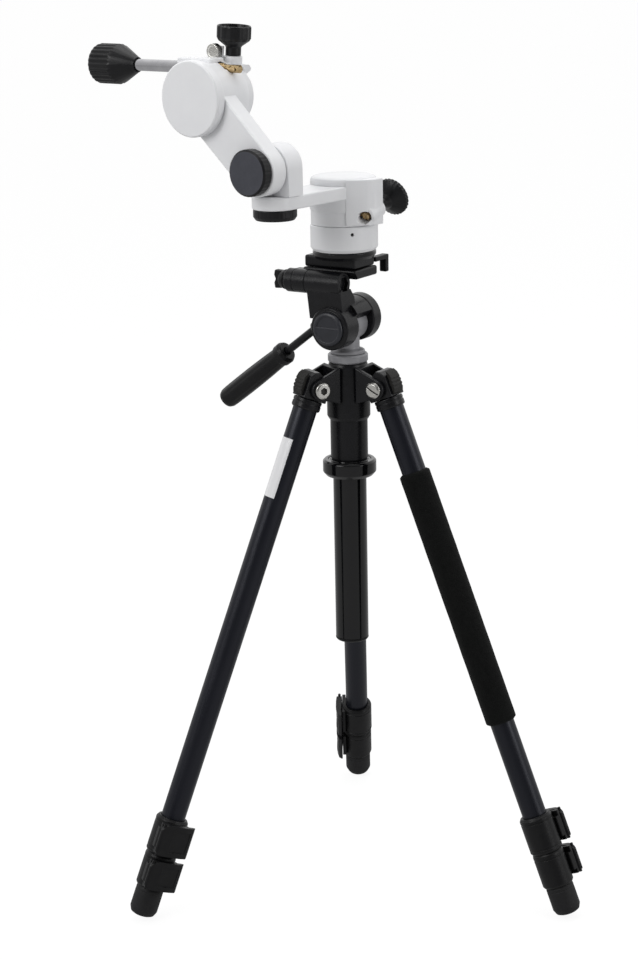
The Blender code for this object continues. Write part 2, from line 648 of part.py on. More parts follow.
# lower arm: a disc and skirt round the wheel, a slab out to the elbow and a
# housing for the worm, then the rooms and bores; three of the rooms are turned
# a few degrees against the facets of the disc
lower = lathe("lower_arm",
              [(HEAD_R - 1.0, DISC_TOP), (HEAD_R, DISC_TOP - 1.0), (HEAD_R, RING_Z),
               (SKIRT_R, RING_Z), (SKIRT_R, SKIRT_BOTTOM), (SKIRT_IN, SKIRT_BOTTOM),
               (SKIRT_IN, SKIRT_CEILING), (9.4, SKIRT_CEILING), (9.4, DISC_TOP)],
              mount, "white_paint", az_pin, steps=26, closed=True)
SLAB_OUTLINE = ([(SLAB_START, -21.4), (SLAB_BEND, -21.6)]
                + arc(ELBOW_X, 0, 22.3, -90, 90, 12)
                + [(SLAB_BEND, 21.6), (SLAB_START, 21.4)])
join(lower,
     prism("slab", SLAB_OUTLINE, SLAB_BOTTOM, SLAB_TOP, mount, bevel=1.0),
     round_bar("worm_housing", 9.2, 3.0, 25.0, az_worm, steps=18, chamfer=1.5),
     block("worm_boss", (-9.8, 26.0, SKIRT_BOTTOM), (4.0, 40.0, 747.5), mount,
           bevel=1.5))
cut(lower,
    round_bar("worm_bore", 6.4, -4.0, 60.0, az_worm, steps=14),
    round_bar("worm_end_bore", 4.3, -20.0, 10.0, az_worm, steps=12),
    round_bar("wheel_room", SKIRT_IN + GAP, 700.0, SKIRT_CEILING + 0.2,
              mount @ turn(4.0, "Z"), steps=26),
    round_bar("cap_room", CAP_R + 0.5, DISC_TOP - 0.1, 760.0, mount @ turn(3.0, "Z"),
              steps=26),
    block("puck_room", (-60.0, -61.0, 690.0), (62.0, 63.0, SKIRT_BOTTOM + 0.1),
          mount @ turn(2.0, "Z")),
    round_bar("elbow_stud_bore", STUD_BORE_R, 720.0, 742.0,
              mount @ shift(ELBOW_X, 0, 0), steps=10))

lathe("azimuth_cap",
      [(0, CAP_TOP), (29.5, CAP_TOP), (32.0, CAP_TOP - 1.2), (CAP_R, CAP_TOP - 3.8),
       (CAP_R, CAP_BOTTOM), (0, CAP_BOTTOM)],
      mount, "white_paint", az_pin, steps=26)

az_knob_pin = empty("azimuth_knob_axis", az_worm, az_pin)
worm("azimuth_worm", root_radius=3.4, crest_radius=4.9, pitch=2.85, low=5.0,
     high=21.0, start=(3.9, 1.5), end=(3.0, 38.0), frame=az_worm,
     parent=az_knob_pin, rows_per_turn=4)
lathe("azimuth_knob",
      [(0, 51.5), (15.5, 51.5), (18.4, 50.6), (19.2, 49.4), (19.2, 46.2),
       (17.0, 44.6), (8.0, 37.4), (5.4, 32.5), (5.4, 26.0), (3.4, 26.0),
       (3.4, 38.4), (0, 38.4)],
      az_worm, "black_plastic", az_knob_pin, steps=24)

# ------------------------------------------------------------------ elbow
ELBOW_FACE = 9.4                # flat face towards the upper arm, from the elbow axis
ELBOW_R = 25.0                  # of the arched top
LOWER_KNOB_TOP = SLAB_BOTTOM - GAP

elbow = mount @ shift(ELBOW_X, 0, 0)
elbow_pin = empty("elbow_axis", elbow, az_pin)

# block with a rounded back in plan and an arched top seen along X
ELBOW_PLAN = ([(ELBOW_FACE, 24.0), (0.0, 23.4)] + arc(0, 0, 23.0, 100, 260, 12)
              + [(0.0, -23.4), (ELBOW_FACE, -24.0)])
ARCH_OUTLINE = ([(-26.0, 740.0), (26.0, 740.0), (ELBOW_R, ELBOW_Z)]
                + arc(0, ELBOW_Z, ELBOW_R, 10, 170, 12) + [(-ELBOW_R, ELBOW_Z)])
elbow_block = prism("elbow_block", ELBOW_PLAN, SLAB_TOP + GAP, 796.0, elbow,
                    "white_paint", elbow_pin)
trim(elbow_block, prism("tombstone", ARCH_OUTLINE, -40.0, 30.0, elbow @ FACING_X))
cut(elbow_block, round_bar("front_stud_bore", STUD_BORE_R, 0.0, 20.0,
                           elbow @ shift(0, 0, ELBOW_Z) @ turn(90, "Y"), steps=10))

lower_knob_pin = empty("elbow_lower_knob_axis", elbow, elbow_pin)
lathe("elbow_knob_lower",
      [(0, 741.6), (STUD_R, 741.6), (STUD_R, LOWER_KNOB_TOP), (21.0, LOWER_KNOB_TOP),
       (21.3, 730.6), (21.3, 724.2), (19.0, 720.9), (0, 720.9)],
      elbow, "black_plastic", lower_knob_pin, steps=24)

# ------------------------------------------------------------------ upper arm
ARM_BACK, ARM_FRONT = ELBOW_X + ELBOW_FACE + GAP, 136.2   # along mount X
FRONT_START = ARM_FRONT + GAP   # altitude cover and front knob begin here
HOUSING_BACK = 96.2
ALT_Y, ALT_Z = -70.3, 836.0     # altitude axis
ALT_WORM_X, ALT_WORM_Z = 110.5, 863.0
ALT_SHAFT_R, ALT_BORE_R = 3.9, 4.4

front = mount @ shift(0, 0, ELBOW_Z)
front_x = front @ turn(90, "Y")
alt = mount @ shift(0, ALT_Y, ALT_Z) @ turn(90, "Y")   # Z is the altitude axis
alt_worm = mount @ shift(ALT_WORM_X, 0, ALT_WORM_Z) @ turn(90, "X")   # Z is -Y
arm_pin = empty("upper_arm_axis", front, elbow_pin)

# strip from the elbow to the altitude axis, round at both ends: (mount y, height)
arm_angle = math.degrees(math.atan2(ALT_Z - ELBOW_Z, ALT_Y))
ARM_OUTLINE = (arc(0, ELBOW_Z, 24.0, arm_angle + 90, arm_angle + 270, 12)
               + arc(ALT_Y, ALT_Z, 25.5, arm_angle - 90, arm_angle + 90, 6))
arm = prism("upper_arm", ARM_OUTLINE, ARM_BACK, ARM_FRONT, mount @ FACING_X,
            "white_paint", arm_pin, bevel=1.0)
join(arm,
     round_bar("gear_housing", 33.5, HOUSING_BACK, ARM_FRONT, alt, steps=24,
               chamfer=1.0),
     block("worm_block", (103.8, -106.0, 846.0), (124.0, -62.0, 873.0), mount,
           bevel=1.5))
cut(arm,
    round_bar("gear_room", 29.8, 100.0, 140.0, alt @ turn(4.0, "Z"), steps=24),
    round_bar("hub_bore", 8.5, 90.0, 105.0, alt @ turn(5.0, "Z"), steps=14),
    lathe("alt_worm_bore",
          [(0, 120.0), (ALT_BORE_R, 120.0), (ALT_BORE_R, 103.0), (6.3, 103.0),
           (6.3, 50.0), (ALT_BORE_R, 50.0), (ALT_BORE_R, 20.0), (0, 20.0)],
          alt_worm, steps=12),
    round_bar("front_bore", STUD_BORE_R, 100.0, 150.0, front_x, steps=10))

front_pin = empty("elbow_front_knob_axis", front, arm_pin)
lathe("elbow_knob_front",
      [(0, 147.9), (20.6, 147.9), (22.5, 146.6), (22.5, 138.0), (21.8, FRONT_START),
       (STUD_R, FRONT_START), (STUD_R, 108.5), (0, 108.5)],
      front_x, "black_plastic", front_pin, steps=24)

# ------------------------------------------------------------------ altitude
COVER_R, COVER_FRONT = 36.6, 146.9
ROD_R, ROD_END = 5.9, 187.5
KNOB_BORE_R, KNOB_BORE_END = 6.3, 187.9

alt_pin = empty("altitude_axis", alt, arm_pin)
lathe("altitude_cover",
      [(0, COVER_FRONT), (COVER_R - 1.2, COVER_FRONT), (COVER_R, COVER_FRONT - 1.2),
       (COVER_R, FRONT_START), (0, FRONT_START)],
      alt, "white_paint", arm_pin, steps=26)

alt_wheel = gear("altitude_wheel", 21.6, 104.5, 116.5, alt, alt_pin)
join(alt_wheel, round_bar("alt_hub", 8.0, 88.3, 105.5, alt))

# worm, extension rod and knob on one axis
alt_knob_pin = empty("altitude_knob_axis", alt_worm, arm_pin)
worm("altitude_worm", root_radius=3.6, crest_radius=5.0, pitch=2.26, low=55.0,
     high=97.0, start=(ALT_SHAFT_R, 36.0), end=(ALT_SHAFT_R, 106.5), frame=alt_worm,
     parent=alt_knob_pin, rows_per_turn=2)
lathe("altitude_rod", bar_profile(ROD_R, 107.0, ROD_END), alt_worm, "chrome",
      alt_knob_pin)
lathe("altitude_knob",
      [(0, 222.4), (17.5, 222.4), (19.4, 221.0), (20.0, 219.0), (20.0, 194.5),
       (18.6, 191.4), (8.0, 171.6), (7.0, 170.0), (KNOB_BORE_R, 170.0),
       (KNOB_BORE_R, KNOB_BORE_END), (0, KNOB_BORE_END)],
      alt_worm, "black_plastic", alt_knob_pin, steps=24)

# ------------------------------------------------------------------ saddle
SADDLE_LEAN = 5.0
CLAMP_X = 84.8                  # clamp knob's axis, along mount X
CLAMP_STUD_R = 4.0
CLAMP_BORE_R = CLAMP_STUD_R + GAP
SCREW_Y, SCREW_Z = -11.1, 41.2  # safety screw, from the altitude axis

saddle_frame = mount @ shift(0, ALT_Y, ALT_Z) @ turn(-SADDLE_LEAN, "X")
saddle_x = saddle_frame @ turn(90, "Y")   # Z is the altitude axis
clamp = saddle_frame @ shift(CLAMP_X, 0, 0)
screw_frame = saddle_frame @ shift(0, SCREW_Y, SCREW_Z) @ turn(90, "Y")
saddle_pin = empty("saddle_axis", saddle_x, alt_pin)

# round body, dovetail channel across it, clamp boss on top: (x, z) of the channel
CHANNEL_OUTLINE = [(86.0, -27.5), (86.0, 30.0), (79.0, 30.0), (75.6, 26.6),
                   (76.6, 24.2), (83.0, 21.2), (83.0, -21.2), (76.6, -24.2),
                   (75.6, -26.6), (79.0, -30.0), (86.0, -30.0)]
saddle = lathe("saddle", bar_profile(28.5, 84.0, HOUSING_BACK - GAP, 1.2), saddle_x,
               "white_paint", saddle_pin, steps=24)
join(saddle,
     prism("jaws", CHANNEL_OUTLINE, -16.0, 16.0, saddle_frame @ turn(90, "X"),
           bevel=0.8),
     round_bar("clamp_boss", 9.0, 20.0, 37.4, clamp, chamfer=0.8))
cut(saddle, round_bar("clamp_bore", CLAMP_BORE_R, 24.0, 50.0, clamp, steps=12))
join(saddle, block("screw_lug", (92.8, -17.5, 17.0), (95.5, -4.5, 46.5), saddle_frame,
                   bevel=0.4))
cut(saddle,
    round_bar("screw_bore", 2.9, 80.0, 100.0, screw_frame, steps=10),
    round_bar("hub_seat", 8.4, 88.0, 97.0, saddle_x))

clamp_pin = empty("clamp_knob_axis", clamp, saddle_pin)
lathe("clamp_knob",
      [(0, 57.0), (14.0, 57.0), (14.6, 66.2), (16.2, 66.2), (17.0, 65.2),
       (17.0, 54.5), (15.6, 52.0), (8.2, 46.6), (7.6, 45.4), (7.6, 37.8),
       (CLAMP_STUD_R, 37.8), (CLAMP_STUD_R, 25.0), (0, 25.0)],
      clamp, "black_plastic", clamp_pin, steps=24)

screw_pin = empty("safety_screw_axis", screw_frame, saddle_pin)
lathe("safety_screw",
      [(0, 103.6), (6.9, 103.6), (7.5, 103.0), (7.5, 97.0), (6.9, 96.3),
       (2.6, 96.3), (2.6, 93.2), (0, 93.2)],
      screw_frame, "steel", screw_pin)
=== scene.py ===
import json
import math

import bmesh
import bpy
from mathutils import Matrix, Vector, noise


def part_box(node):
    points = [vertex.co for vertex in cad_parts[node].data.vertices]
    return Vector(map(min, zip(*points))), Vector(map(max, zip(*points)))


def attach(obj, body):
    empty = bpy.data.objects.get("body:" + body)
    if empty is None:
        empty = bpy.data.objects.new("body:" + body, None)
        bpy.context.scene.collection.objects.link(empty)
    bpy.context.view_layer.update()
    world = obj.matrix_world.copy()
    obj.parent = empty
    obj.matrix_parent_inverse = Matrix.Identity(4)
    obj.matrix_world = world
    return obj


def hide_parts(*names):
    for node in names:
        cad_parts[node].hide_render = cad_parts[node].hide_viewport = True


# Alt-azimuth mount on a three-legged camera tripod. The tripod's column stands along +Z
# through the joint column_collar_twist, on a floor at Z = 0.
# Lengths are millimetres in each piece's own frame unless noted; MM makes them metres.
# Heights of the upright pieces are counted from BASE_Z.
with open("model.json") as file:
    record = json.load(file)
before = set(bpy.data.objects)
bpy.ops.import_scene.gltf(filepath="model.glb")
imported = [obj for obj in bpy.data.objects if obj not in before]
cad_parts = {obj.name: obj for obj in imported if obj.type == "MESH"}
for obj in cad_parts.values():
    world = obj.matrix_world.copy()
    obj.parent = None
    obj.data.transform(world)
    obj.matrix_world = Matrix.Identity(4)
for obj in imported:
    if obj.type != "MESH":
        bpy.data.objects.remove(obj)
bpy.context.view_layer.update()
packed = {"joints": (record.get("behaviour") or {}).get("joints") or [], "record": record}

MM = 0.001
GAP = 0.3  # clearance between neighbouring pieces
JOINTS = {joint["name"]: joint for joint in packed["joints"]}
BODY_OF = {node: body
           for body, nodes in packed["record"]["behaviour"]["bodies"].items()
           for node in nodes}
LEGS = ("left", "right", "rear")


# ------------------------------------------------------------------ frames
def at(joint):
    return Vector(JOINTS[joint]["pos_m"])


def along(joint):
    return Vector(JOINTS[joint]["axis"]).normalized()


def axes(origin, x, y, z):
    matrix = Matrix((x, y, z)).transposed().to_4x4()
    matrix.translation = Vector(origin)
    return matrix


def square(origin, x, z):
    """Frame from its X and Z directions, with Y square to both."""
    return axes(origin, x, z.cross(x), z)


def turn(deg, axis):
    return Matrix.Rotation(math.radians(deg), 4, axis)


def shift(x, y, z):
    return Matrix.Translation((x * MM, y * MM, z * MM))


Z = Vector((0, 0, 1))
HUB_TOP = 562.4
BASE_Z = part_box("shoulder")[1].z - HUB_TOP * MM
COLUMN = at("column_collar_twist")
column = Matrix.Translation((COLUMN.x, COLUMN.y, BASE_Z))

# pan head: pan is upright with X along the tilt axis; the others have Z on their axis
tilt_dir = along("tilt")
pan = square((COLUMN.x, COLUMN.y, BASE_Z), tilt_dir, Z)
TILT_Z = (at("tilt").z - BASE_Z) / MM
SIDE_X, SIDE_Z, SIDE_R = 26.0, 647.0, 12.0  # side-tilt barrel: place and radius
tilt = pan @ shift(0, 0, TILT_Z)
drum = tilt @ turn(90, "Y")
side_tilt = pan @ shift(SIDE_X, 0, SIDE_Z) @ turn(-90, "X")
handle = square(at("handle_twist"), tilt_dir, along("handle_twist"))

# mount: upright on the azimuth axis, with X along the arms
arm_dir = -along("altitude_slow_motion")
AZIMUTH = at("azimuth_clutch")
AZIMUTH_FOOT = (AZIMUTH.x, AZIMUTH.y, BASE_Z)
mount = square(AZIMUTH_FOOT, arm_dir, Z)
ELBOW_X, ELBOW_Z = 107.0, 769.5
ALT_Y, ALT_Z = -70.3, 836.0
ALT_WORM_X, ALT_WORM_Z = 110.5, 863.0
EDGEWISE = square((0, 0, 0), Vector((0, 1, 0)), Vector((1, 0, 0)))  # drawn in YZ
elbow = mount @ shift(ELBOW_X, 0, 0)
front_knob = mount @ shift(0, 0, ELBOW_Z) @ turn(90, "Y")
arm_plane = mount @ EDGEWISE
altitude = mount @ shift(0, ALT_Y, ALT_Z) @ turn(90, "Y")
alt_worm = mount @ shift(ALT_WORM_X, 0, ALT_WORM_Z) @ turn(90, "X")
az_worm = square(at("azimuth_knob_turn"), Z.cross(arm_dir), along("azimuth_knob_turn"))

# saddle: on the altitude axis, Z towards the clamp knob's turning axis direction
saddle_up = square(mount @ Vector((0, ALT_Y * MM, ALT_Z * MM)), arm_dir,
                   along("clamp_knob_turn"))
saddle_face = saddle_up @ turn(90, "Y")
CLAMP_X = 84.8
clamp = saddle_up @ shift(CLAMP_X, 0, 0)
screw = saddle_up @ shift(0, -11.1, 41.2) @ turn(90, "Y")


def require_on_axis(joint, place):
    """Stops the build if the frame's Z line misses the joint's point."""
    offset = at(joint) - place.translation
    z = place.col[2].xyz.normalized()
    miss = (offset - z * offset.dot(z)).length
    if miss > 0.0002:
        raise RuntimeError(f"{joint}: frame is {miss * 1000:.2f} mm off its axis")


for name, place in {"altitude_slow_motion": altitude, "altitude_knob_turn": alt_worm,
                    "elbow_front_knob_turn": front_knob, "elbow_swivel": elbow,
                    "side_tilt": side_tilt, "safety_screw_turn": screw}.items():
    require_on_axis(name, place)


# ------------------------------------------------------------------ mesh tools
LOOKS = bpy.data.collections.new("looks")
bpy.context.scene.collection.children.link(LOOKS)


def object_from(name, mesh, place):
    """Object from a bmesh, which is used up."""
    bmesh.ops.remove_doubles(mesh, verts=mesh.verts, dist=0.0000015)
    bmesh.ops.recalc_face_normals(mesh, faces=mesh.faces)
    data = bpy.data.meshes.new(name)
    mesh.to_mesh(data)
    mesh.free()
    piece = bpy.data.objects.new(name, data)
    LOOKS.objects.link(piece)
    piece.matrix_world = place
    return piece


def fillet(points, radius, steps=3, closed=False):
    """Rounds the corners of an outline. A third number on a point is its own radius."""
    out = []
    count = len(points)
    for i, point in enumerate(points):
        wanted = point[2] if len(point) > 2 else radius
        tip = Vector(point[:2])
        if wanted <= 0 or (not closed and i in (0, count - 1)):
            out.append(tuple(tip))
            continue
        back = Vector(points[i - 1][:2]) - tip
        ahead = Vector(points[(i + 1) % count][:2]) - tip
        back_len, ahead_len = back.length, ahead.length
        if back_len < 1e-6 or ahead_len < 1e-6:
            continue
        back, ahead = back / back_len, ahead / ahead_len
        angle = back.angle(ahead)
        if angle > math.radians(173):
            out.append(tuple(tip))
            continue
        inset = min(wanted / math.tan(angle / 2), 0.46 * back_len, 0.46 * ahead_len)
        fitted = inset * math.tan(angle / 2)
        centre = tip + (back + ahead).normalized() * (fitted / math.sin(angle / 2))
        start, end = tip + back * inset - centre, tip + ahead * inset - centre
        first = math.atan2(start.y, start.x)
        sweep = (math.atan2(end.y, end.x) - first + math.pi) % math.tau - math.pi
        for k in range(steps + 1):
            theta = first + sweep * k / steps
            out.append((centre.x + fitted * math.cos(theta),
                        centre.y + fitted * math.sin(theta)))
    return out


def lathe(name, profile, place, seg=96, closed=False, edge=0.4, wave=None):
    """Turned shape about Z. Profile rows: radius, height and, where wanted, the
    corner's own rounding in place of edge. wave(theta, radius, z) moves the radius."""
    mesh = bmesh.new()
    rings = []
    for radius, z in fillet(profile, edge, closed=closed):
        if radius < 1e-4:
            rings.append([mesh.verts.new((0, 0, z * MM))])
            continue
        ring = []
        for j in range(seg):
            theta = math.tau * j / seg
            reach = wave(theta, radius, z) if wave else radius
            ring.append(mesh.verts.new((reach * math.cos(theta) * MM,
                                        reach * math.sin(theta) * MM, z * MM)))
        rings.append(ring)
    pairs = list(zip(rings, rings[1:]))
    if closed:
        pairs.append((rings[-1], rings[0]))
    for near, far in pairs:
        if len(near) == 1 and len(far) == 1:
            continue
        for j in range(seg):
            k = (j + 1) % seg
            if len(near) == 1:
                mesh.faces.new((near[0], far[j], far[k]))
            elif len(far) == 1:
                mesh.faces.new((near[j], far[0], near[k]))
            else:
                mesh.faces.new((near[j], far[j], far[k], near[k]))
    return object_from(name, mesh, place)


def rod(name, radius, low, high, place, seg, edge=0):
    """Solid cylinder, or a prism when seg is small."""
    return lathe(name, [(0, high), (radius, high), (radius, low), (0, low)], place, seg,
                 edge=edge)


def prism(name, points, low, high, place, bevel=0, seg=3):
    """Outline in XY pushed from low to high along Z."""
    mesh = bmesh.new()
    bottom = [mesh.verts.new((x * MM, y * MM, low * MM)) for x, y in points]
    top = [mesh.verts.new((x * MM, y * MM, high * MM)) for x, y in points]
    mesh.faces.new(bottom)
    mesh.faces.new(top)
    for i in range(len(points)):
        k = (i + 1) % len(points)
        mesh.faces.new((bottom[i], bottom[k], top[k], top[i]))
    piece = object_from(name, mesh, place)
    if bevel:
        add_bevel(piece, bevel, seg)
        apply(piece)
    return piece


def block(name, low, high, place, bevel=0, seg=3):
    points = [(low[0], low[1]), (high[0], low[1]), (high[0], high[1]), (low[0], high[1])]
    return prism(name, points, low[2], high[2], place, bevel, seg)


def add_bevel(piece, width, seg, angle=32.0):
    mod = piece.modifiers.new("Bevel", "BEVEL")
    mod.width = width * MM
    mod.segments = seg
    mod.limit_method = "ANGLE"
    mod.angle_limit = math.radians(angle)
    mod.use_clamp_overlap = True


def add_boolean(piece, operation, tool):
    mod = piece.modifiers.new("Boolean", "BOOLEAN")
    mod.operation = operation
    mod.solver = "EXACT"
    mod.object = tool


def apply(piece):
    """Bakes the modifiers into the mesh."""
    bpy.context.view_layer.update()
    graph = bpy.context.evaluated_depsgraph_get()
    baked = bpy.data.meshes.new_from_object(piece.evaluated_get(graph))
    piece.modifiers.clear()
    old = piece.data
    piece.data = baked
    bpy.data.meshes.remove(old)


def remove(piece):
    bpy.data.objects.remove(piece, do_unlink=True)


def volume(data):
    mesh = bmesh.new()
    mesh.from_mesh(data)
    total = mesh.calc_volume(signed=True)
    mesh.free()
    return total


def combine(piece, *steps):
    """Joins and cuts: each step is ("+", tool) or ("-", tool).

    A cut or join whose surfaces lie too nearly together can drop the piece, so
    each result is measured, and a bad one is done again with a tiny offset."""
    for sign, tool in steps:
        before, extra = volume(piece.data), volume(tool.data)
        home = tool.matrix_world.copy()
        kept = piece.data.copy()
        for attempt in range(6):
            nudge = attempt * 0.000007
            tool.matrix_world = (
                Matrix.Translation((nudge, -0.7 * nudge, 0.6 * nudge)) @ home)
            add_boolean(piece, "UNION" if sign == "+" else "DIFFERENCE", tool)
            apply(piece)
            after = volume(piece.data)
            low = max(before, extra) if sign == "+" else before - extra
            high = before + extra if sign == "+" else before
            if 0.995 * low - 1e-12 <= after <= 1.005 * high + 1e-12:
                break
            piece.data = kept.copy()
        else:
            raise RuntimeError(f"{piece.name}: {tool.name} would not combine")
        remove(tool)
    return piece


def clean(piece):
    mesh = bmesh.new()
    mesh.from_mesh(piece.data)
    bmesh.ops.remove_doubles(mesh, verts=mesh.verts, dist=0.000004)
    bmesh.ops.dissolve_degenerate(mesh, edges=mesh.edges, dist=0.000004)
    loose = [vert for vert in mesh.verts if not vert.link_faces]
    bmesh.ops.delete(mesh, geom=loose, context="VERTS")
    bmesh.ops.recalc_face_normals(mesh, faces=mesh.faces)
    mesh.to_mesh(piece.data)
    mesh.free()


def arc(x, y, radius, start, end, steps):
    """Points on an arc, with its angles in degrees."""
    return [(x + radius * math.cos(math.radians(start + (end - start) * i / steps)),
             y + radius * math.sin(math.radians(start + (end - start) * i / steps)))
            for i in range(steps + 1)]


def ribs(count, depth, low, high, sharp=1.0, blend=1.5):
    """Flutes round a knob between two heights, fading out at their ends."""
    def wave(theta, radius, z):
        if z < low or z > high:
            return radius
        fade = min(1.0, (z - low) / blend, (high - z) / blend)
        groove = 0.5 - 0.5 * math.cos(count * theta)
        return radius - depth * fade * groove ** sharp
    return wave


# ------------------------------------------------------------------ shader tools
def empty_tree(owner):
    owner.use_nodes = True
    owner.node_tree.nodes.clear()
    return owner.node_tree


def feed(node, inputs):
    """Sets inputs from values, sockets, or nodes, which give their first output."""
    for key, value in inputs.items():
        if isinstance(value, bpy.types.Node):
            value = value.outputs[0]
        if isinstance(value, bpy.types.NodeSocket):
            node.id_data.links.new(value, node.inputs[key])
        else:
            node.inputs[key].default_value = value


def add(tree, kind, inputs=None, **settings):
    node = tree.nodes.new("ShaderNode" + kind)
    for key, value in settings.items():
        setattr(node, key, value)
    feed(node, inputs or {})
    return node


def ramp(tree, value, from_min, from_max, to_min=0.0, to_max=1.0):
    return add(tree, "MapRange", {"Value": value, "From Min": from_min,
                                  "From Max": from_max, "To Min": to_min,
                                  "To Max": to_max})


def clouds(tree, vector, scale, detail, roughness=0.5):
    return add(tree, "TexNoise", {"Vector": vector, "Scale": scale, "Detail": detail,
                                  "Roughness": roughness})


def mix(tree, factor, under, over):
    node = add(tree, "Mix", data_type="RGBA")
    feed(node, {"Factor": factor, "A": under, "B": over})
    return node.outputs["Result"]


def material(name, base, mottle, rough, spread, blotch, grain, bump, depth, metal=0.0,
             coat=0.0, coat_rough=0.1, edge=None, edge_size=0.0006, stretch=(1, 1, 1),
             cells=None, streak=None, specular=0.5, rounding=0.0005, speck=None,
             sheen=0.0):
    """Procedural finish: blotchy colour, fine grain bump, varied gloss, and lighter
    rounded edges in patches, partly edge wear and partly painted highlight.

    base and mottle are the two colours, spread the play in rough; blotch, grain and
    cells are texture scales; depth, edge_size and rounding are metres; speck is a
    colour, a texture scale and the noise level above which it shows."""
    made = bpy.data.materials.new(name)
    tree = empty_tree(made)
    bsdf = add(tree, "BsdfPrincipled", {
        "Metallic": metal, "Specular IOR Level": specular,
        "Coat Weight": coat, "Coat Roughness": coat_rough})
    add(tree, "OutputMaterial", {0: bsdf})
    if sheen:
        feed(bsdf, {"Sheen Weight": sheen, "Sheen Roughness": 0.6})
    local = add(tree, "TexCoord").outputs["Object"]
    stretched = add(tree, "Mapping", {"Vector": local, "Scale": stretch})
    patches = ramp(tree, clouds(tree, stretched, blotch, detail=5.0, roughness=0.6),
                   from_min=0.32, from_max=0.68)
    colour = mix(tree, patches, (*base, 1), (*mottle, 1))
    gloss = ramp(tree, clouds(tree, stretched, blotch * 4.3, detail=4.0),
                 from_min=0.3, from_max=0.7, to_min=rough - spread,
                 to_max=rough + spread)
    if streak:
        # long fine lines, as drawn or brushed metal shows
        drawn = add(tree, "Mapping", {"Vector": local, "Scale": streak})
        lines = ramp(tree, clouds(tree, drawn, scale=1.0, detail=3.0),
                     from_min=0.3, from_max=0.7, to_min=-spread, to_max=spread)
        gloss = add(tree, "Math", {0: gloss, 1: lines}, operation="ADD", use_clamp=True)
    rounded = add(tree, "Bevel", {"Radius": rounding}, samples=4)
    # lighter colour on rounded edges, in patches: partly edge wear, partly painted
    # highlight
    if edge:
        wide = add(tree, "Bevel", {"Radius": edge_size}, samples=4)
        flat = add(tree, "NewGeometry").outputs["True Normal"]
        facing = add(tree, "VectorMath", {0: wide, 1: flat}, operation="DOT_PRODUCT")
        bent = ramp(tree, facing.outputs["Value"], from_min=0.99, from_max=0.86)
        edge_wear_and_highlight = add(tree, "Math", {0: bent, 1: patches}, operation="MULTIPLY")
        colour = mix(tree, edge_wear_and_highlight, colour, (*edge, 1))
    if speck:
        tint, scale, level = speck
        spots = ramp(tree, clouds(tree, local, scale, detail=2.0),
                     from_min=level, from_max=level + 0.05)
        colour = mix(tree, spots, colour, (*tint, 1))
    height = clouds(tree, stretched, grain, detail=3.0)
    if cells:
        pores = add(tree, "TexVoronoi", {"Vector": local, "Scale": cells})
        height = add(tree, "Math", {0: pores, 1: 0.7, 2: height},
                     operation="MULTIPLY_ADD")
    normal = add(tree, "Bump", {"Strength": bump, "Distance": depth, "Height": height,
                                "Normal": rounded})
    feed(bsdf, {"Base Color": colour, "Roughness": gloss, "Normal": normal})
    return made


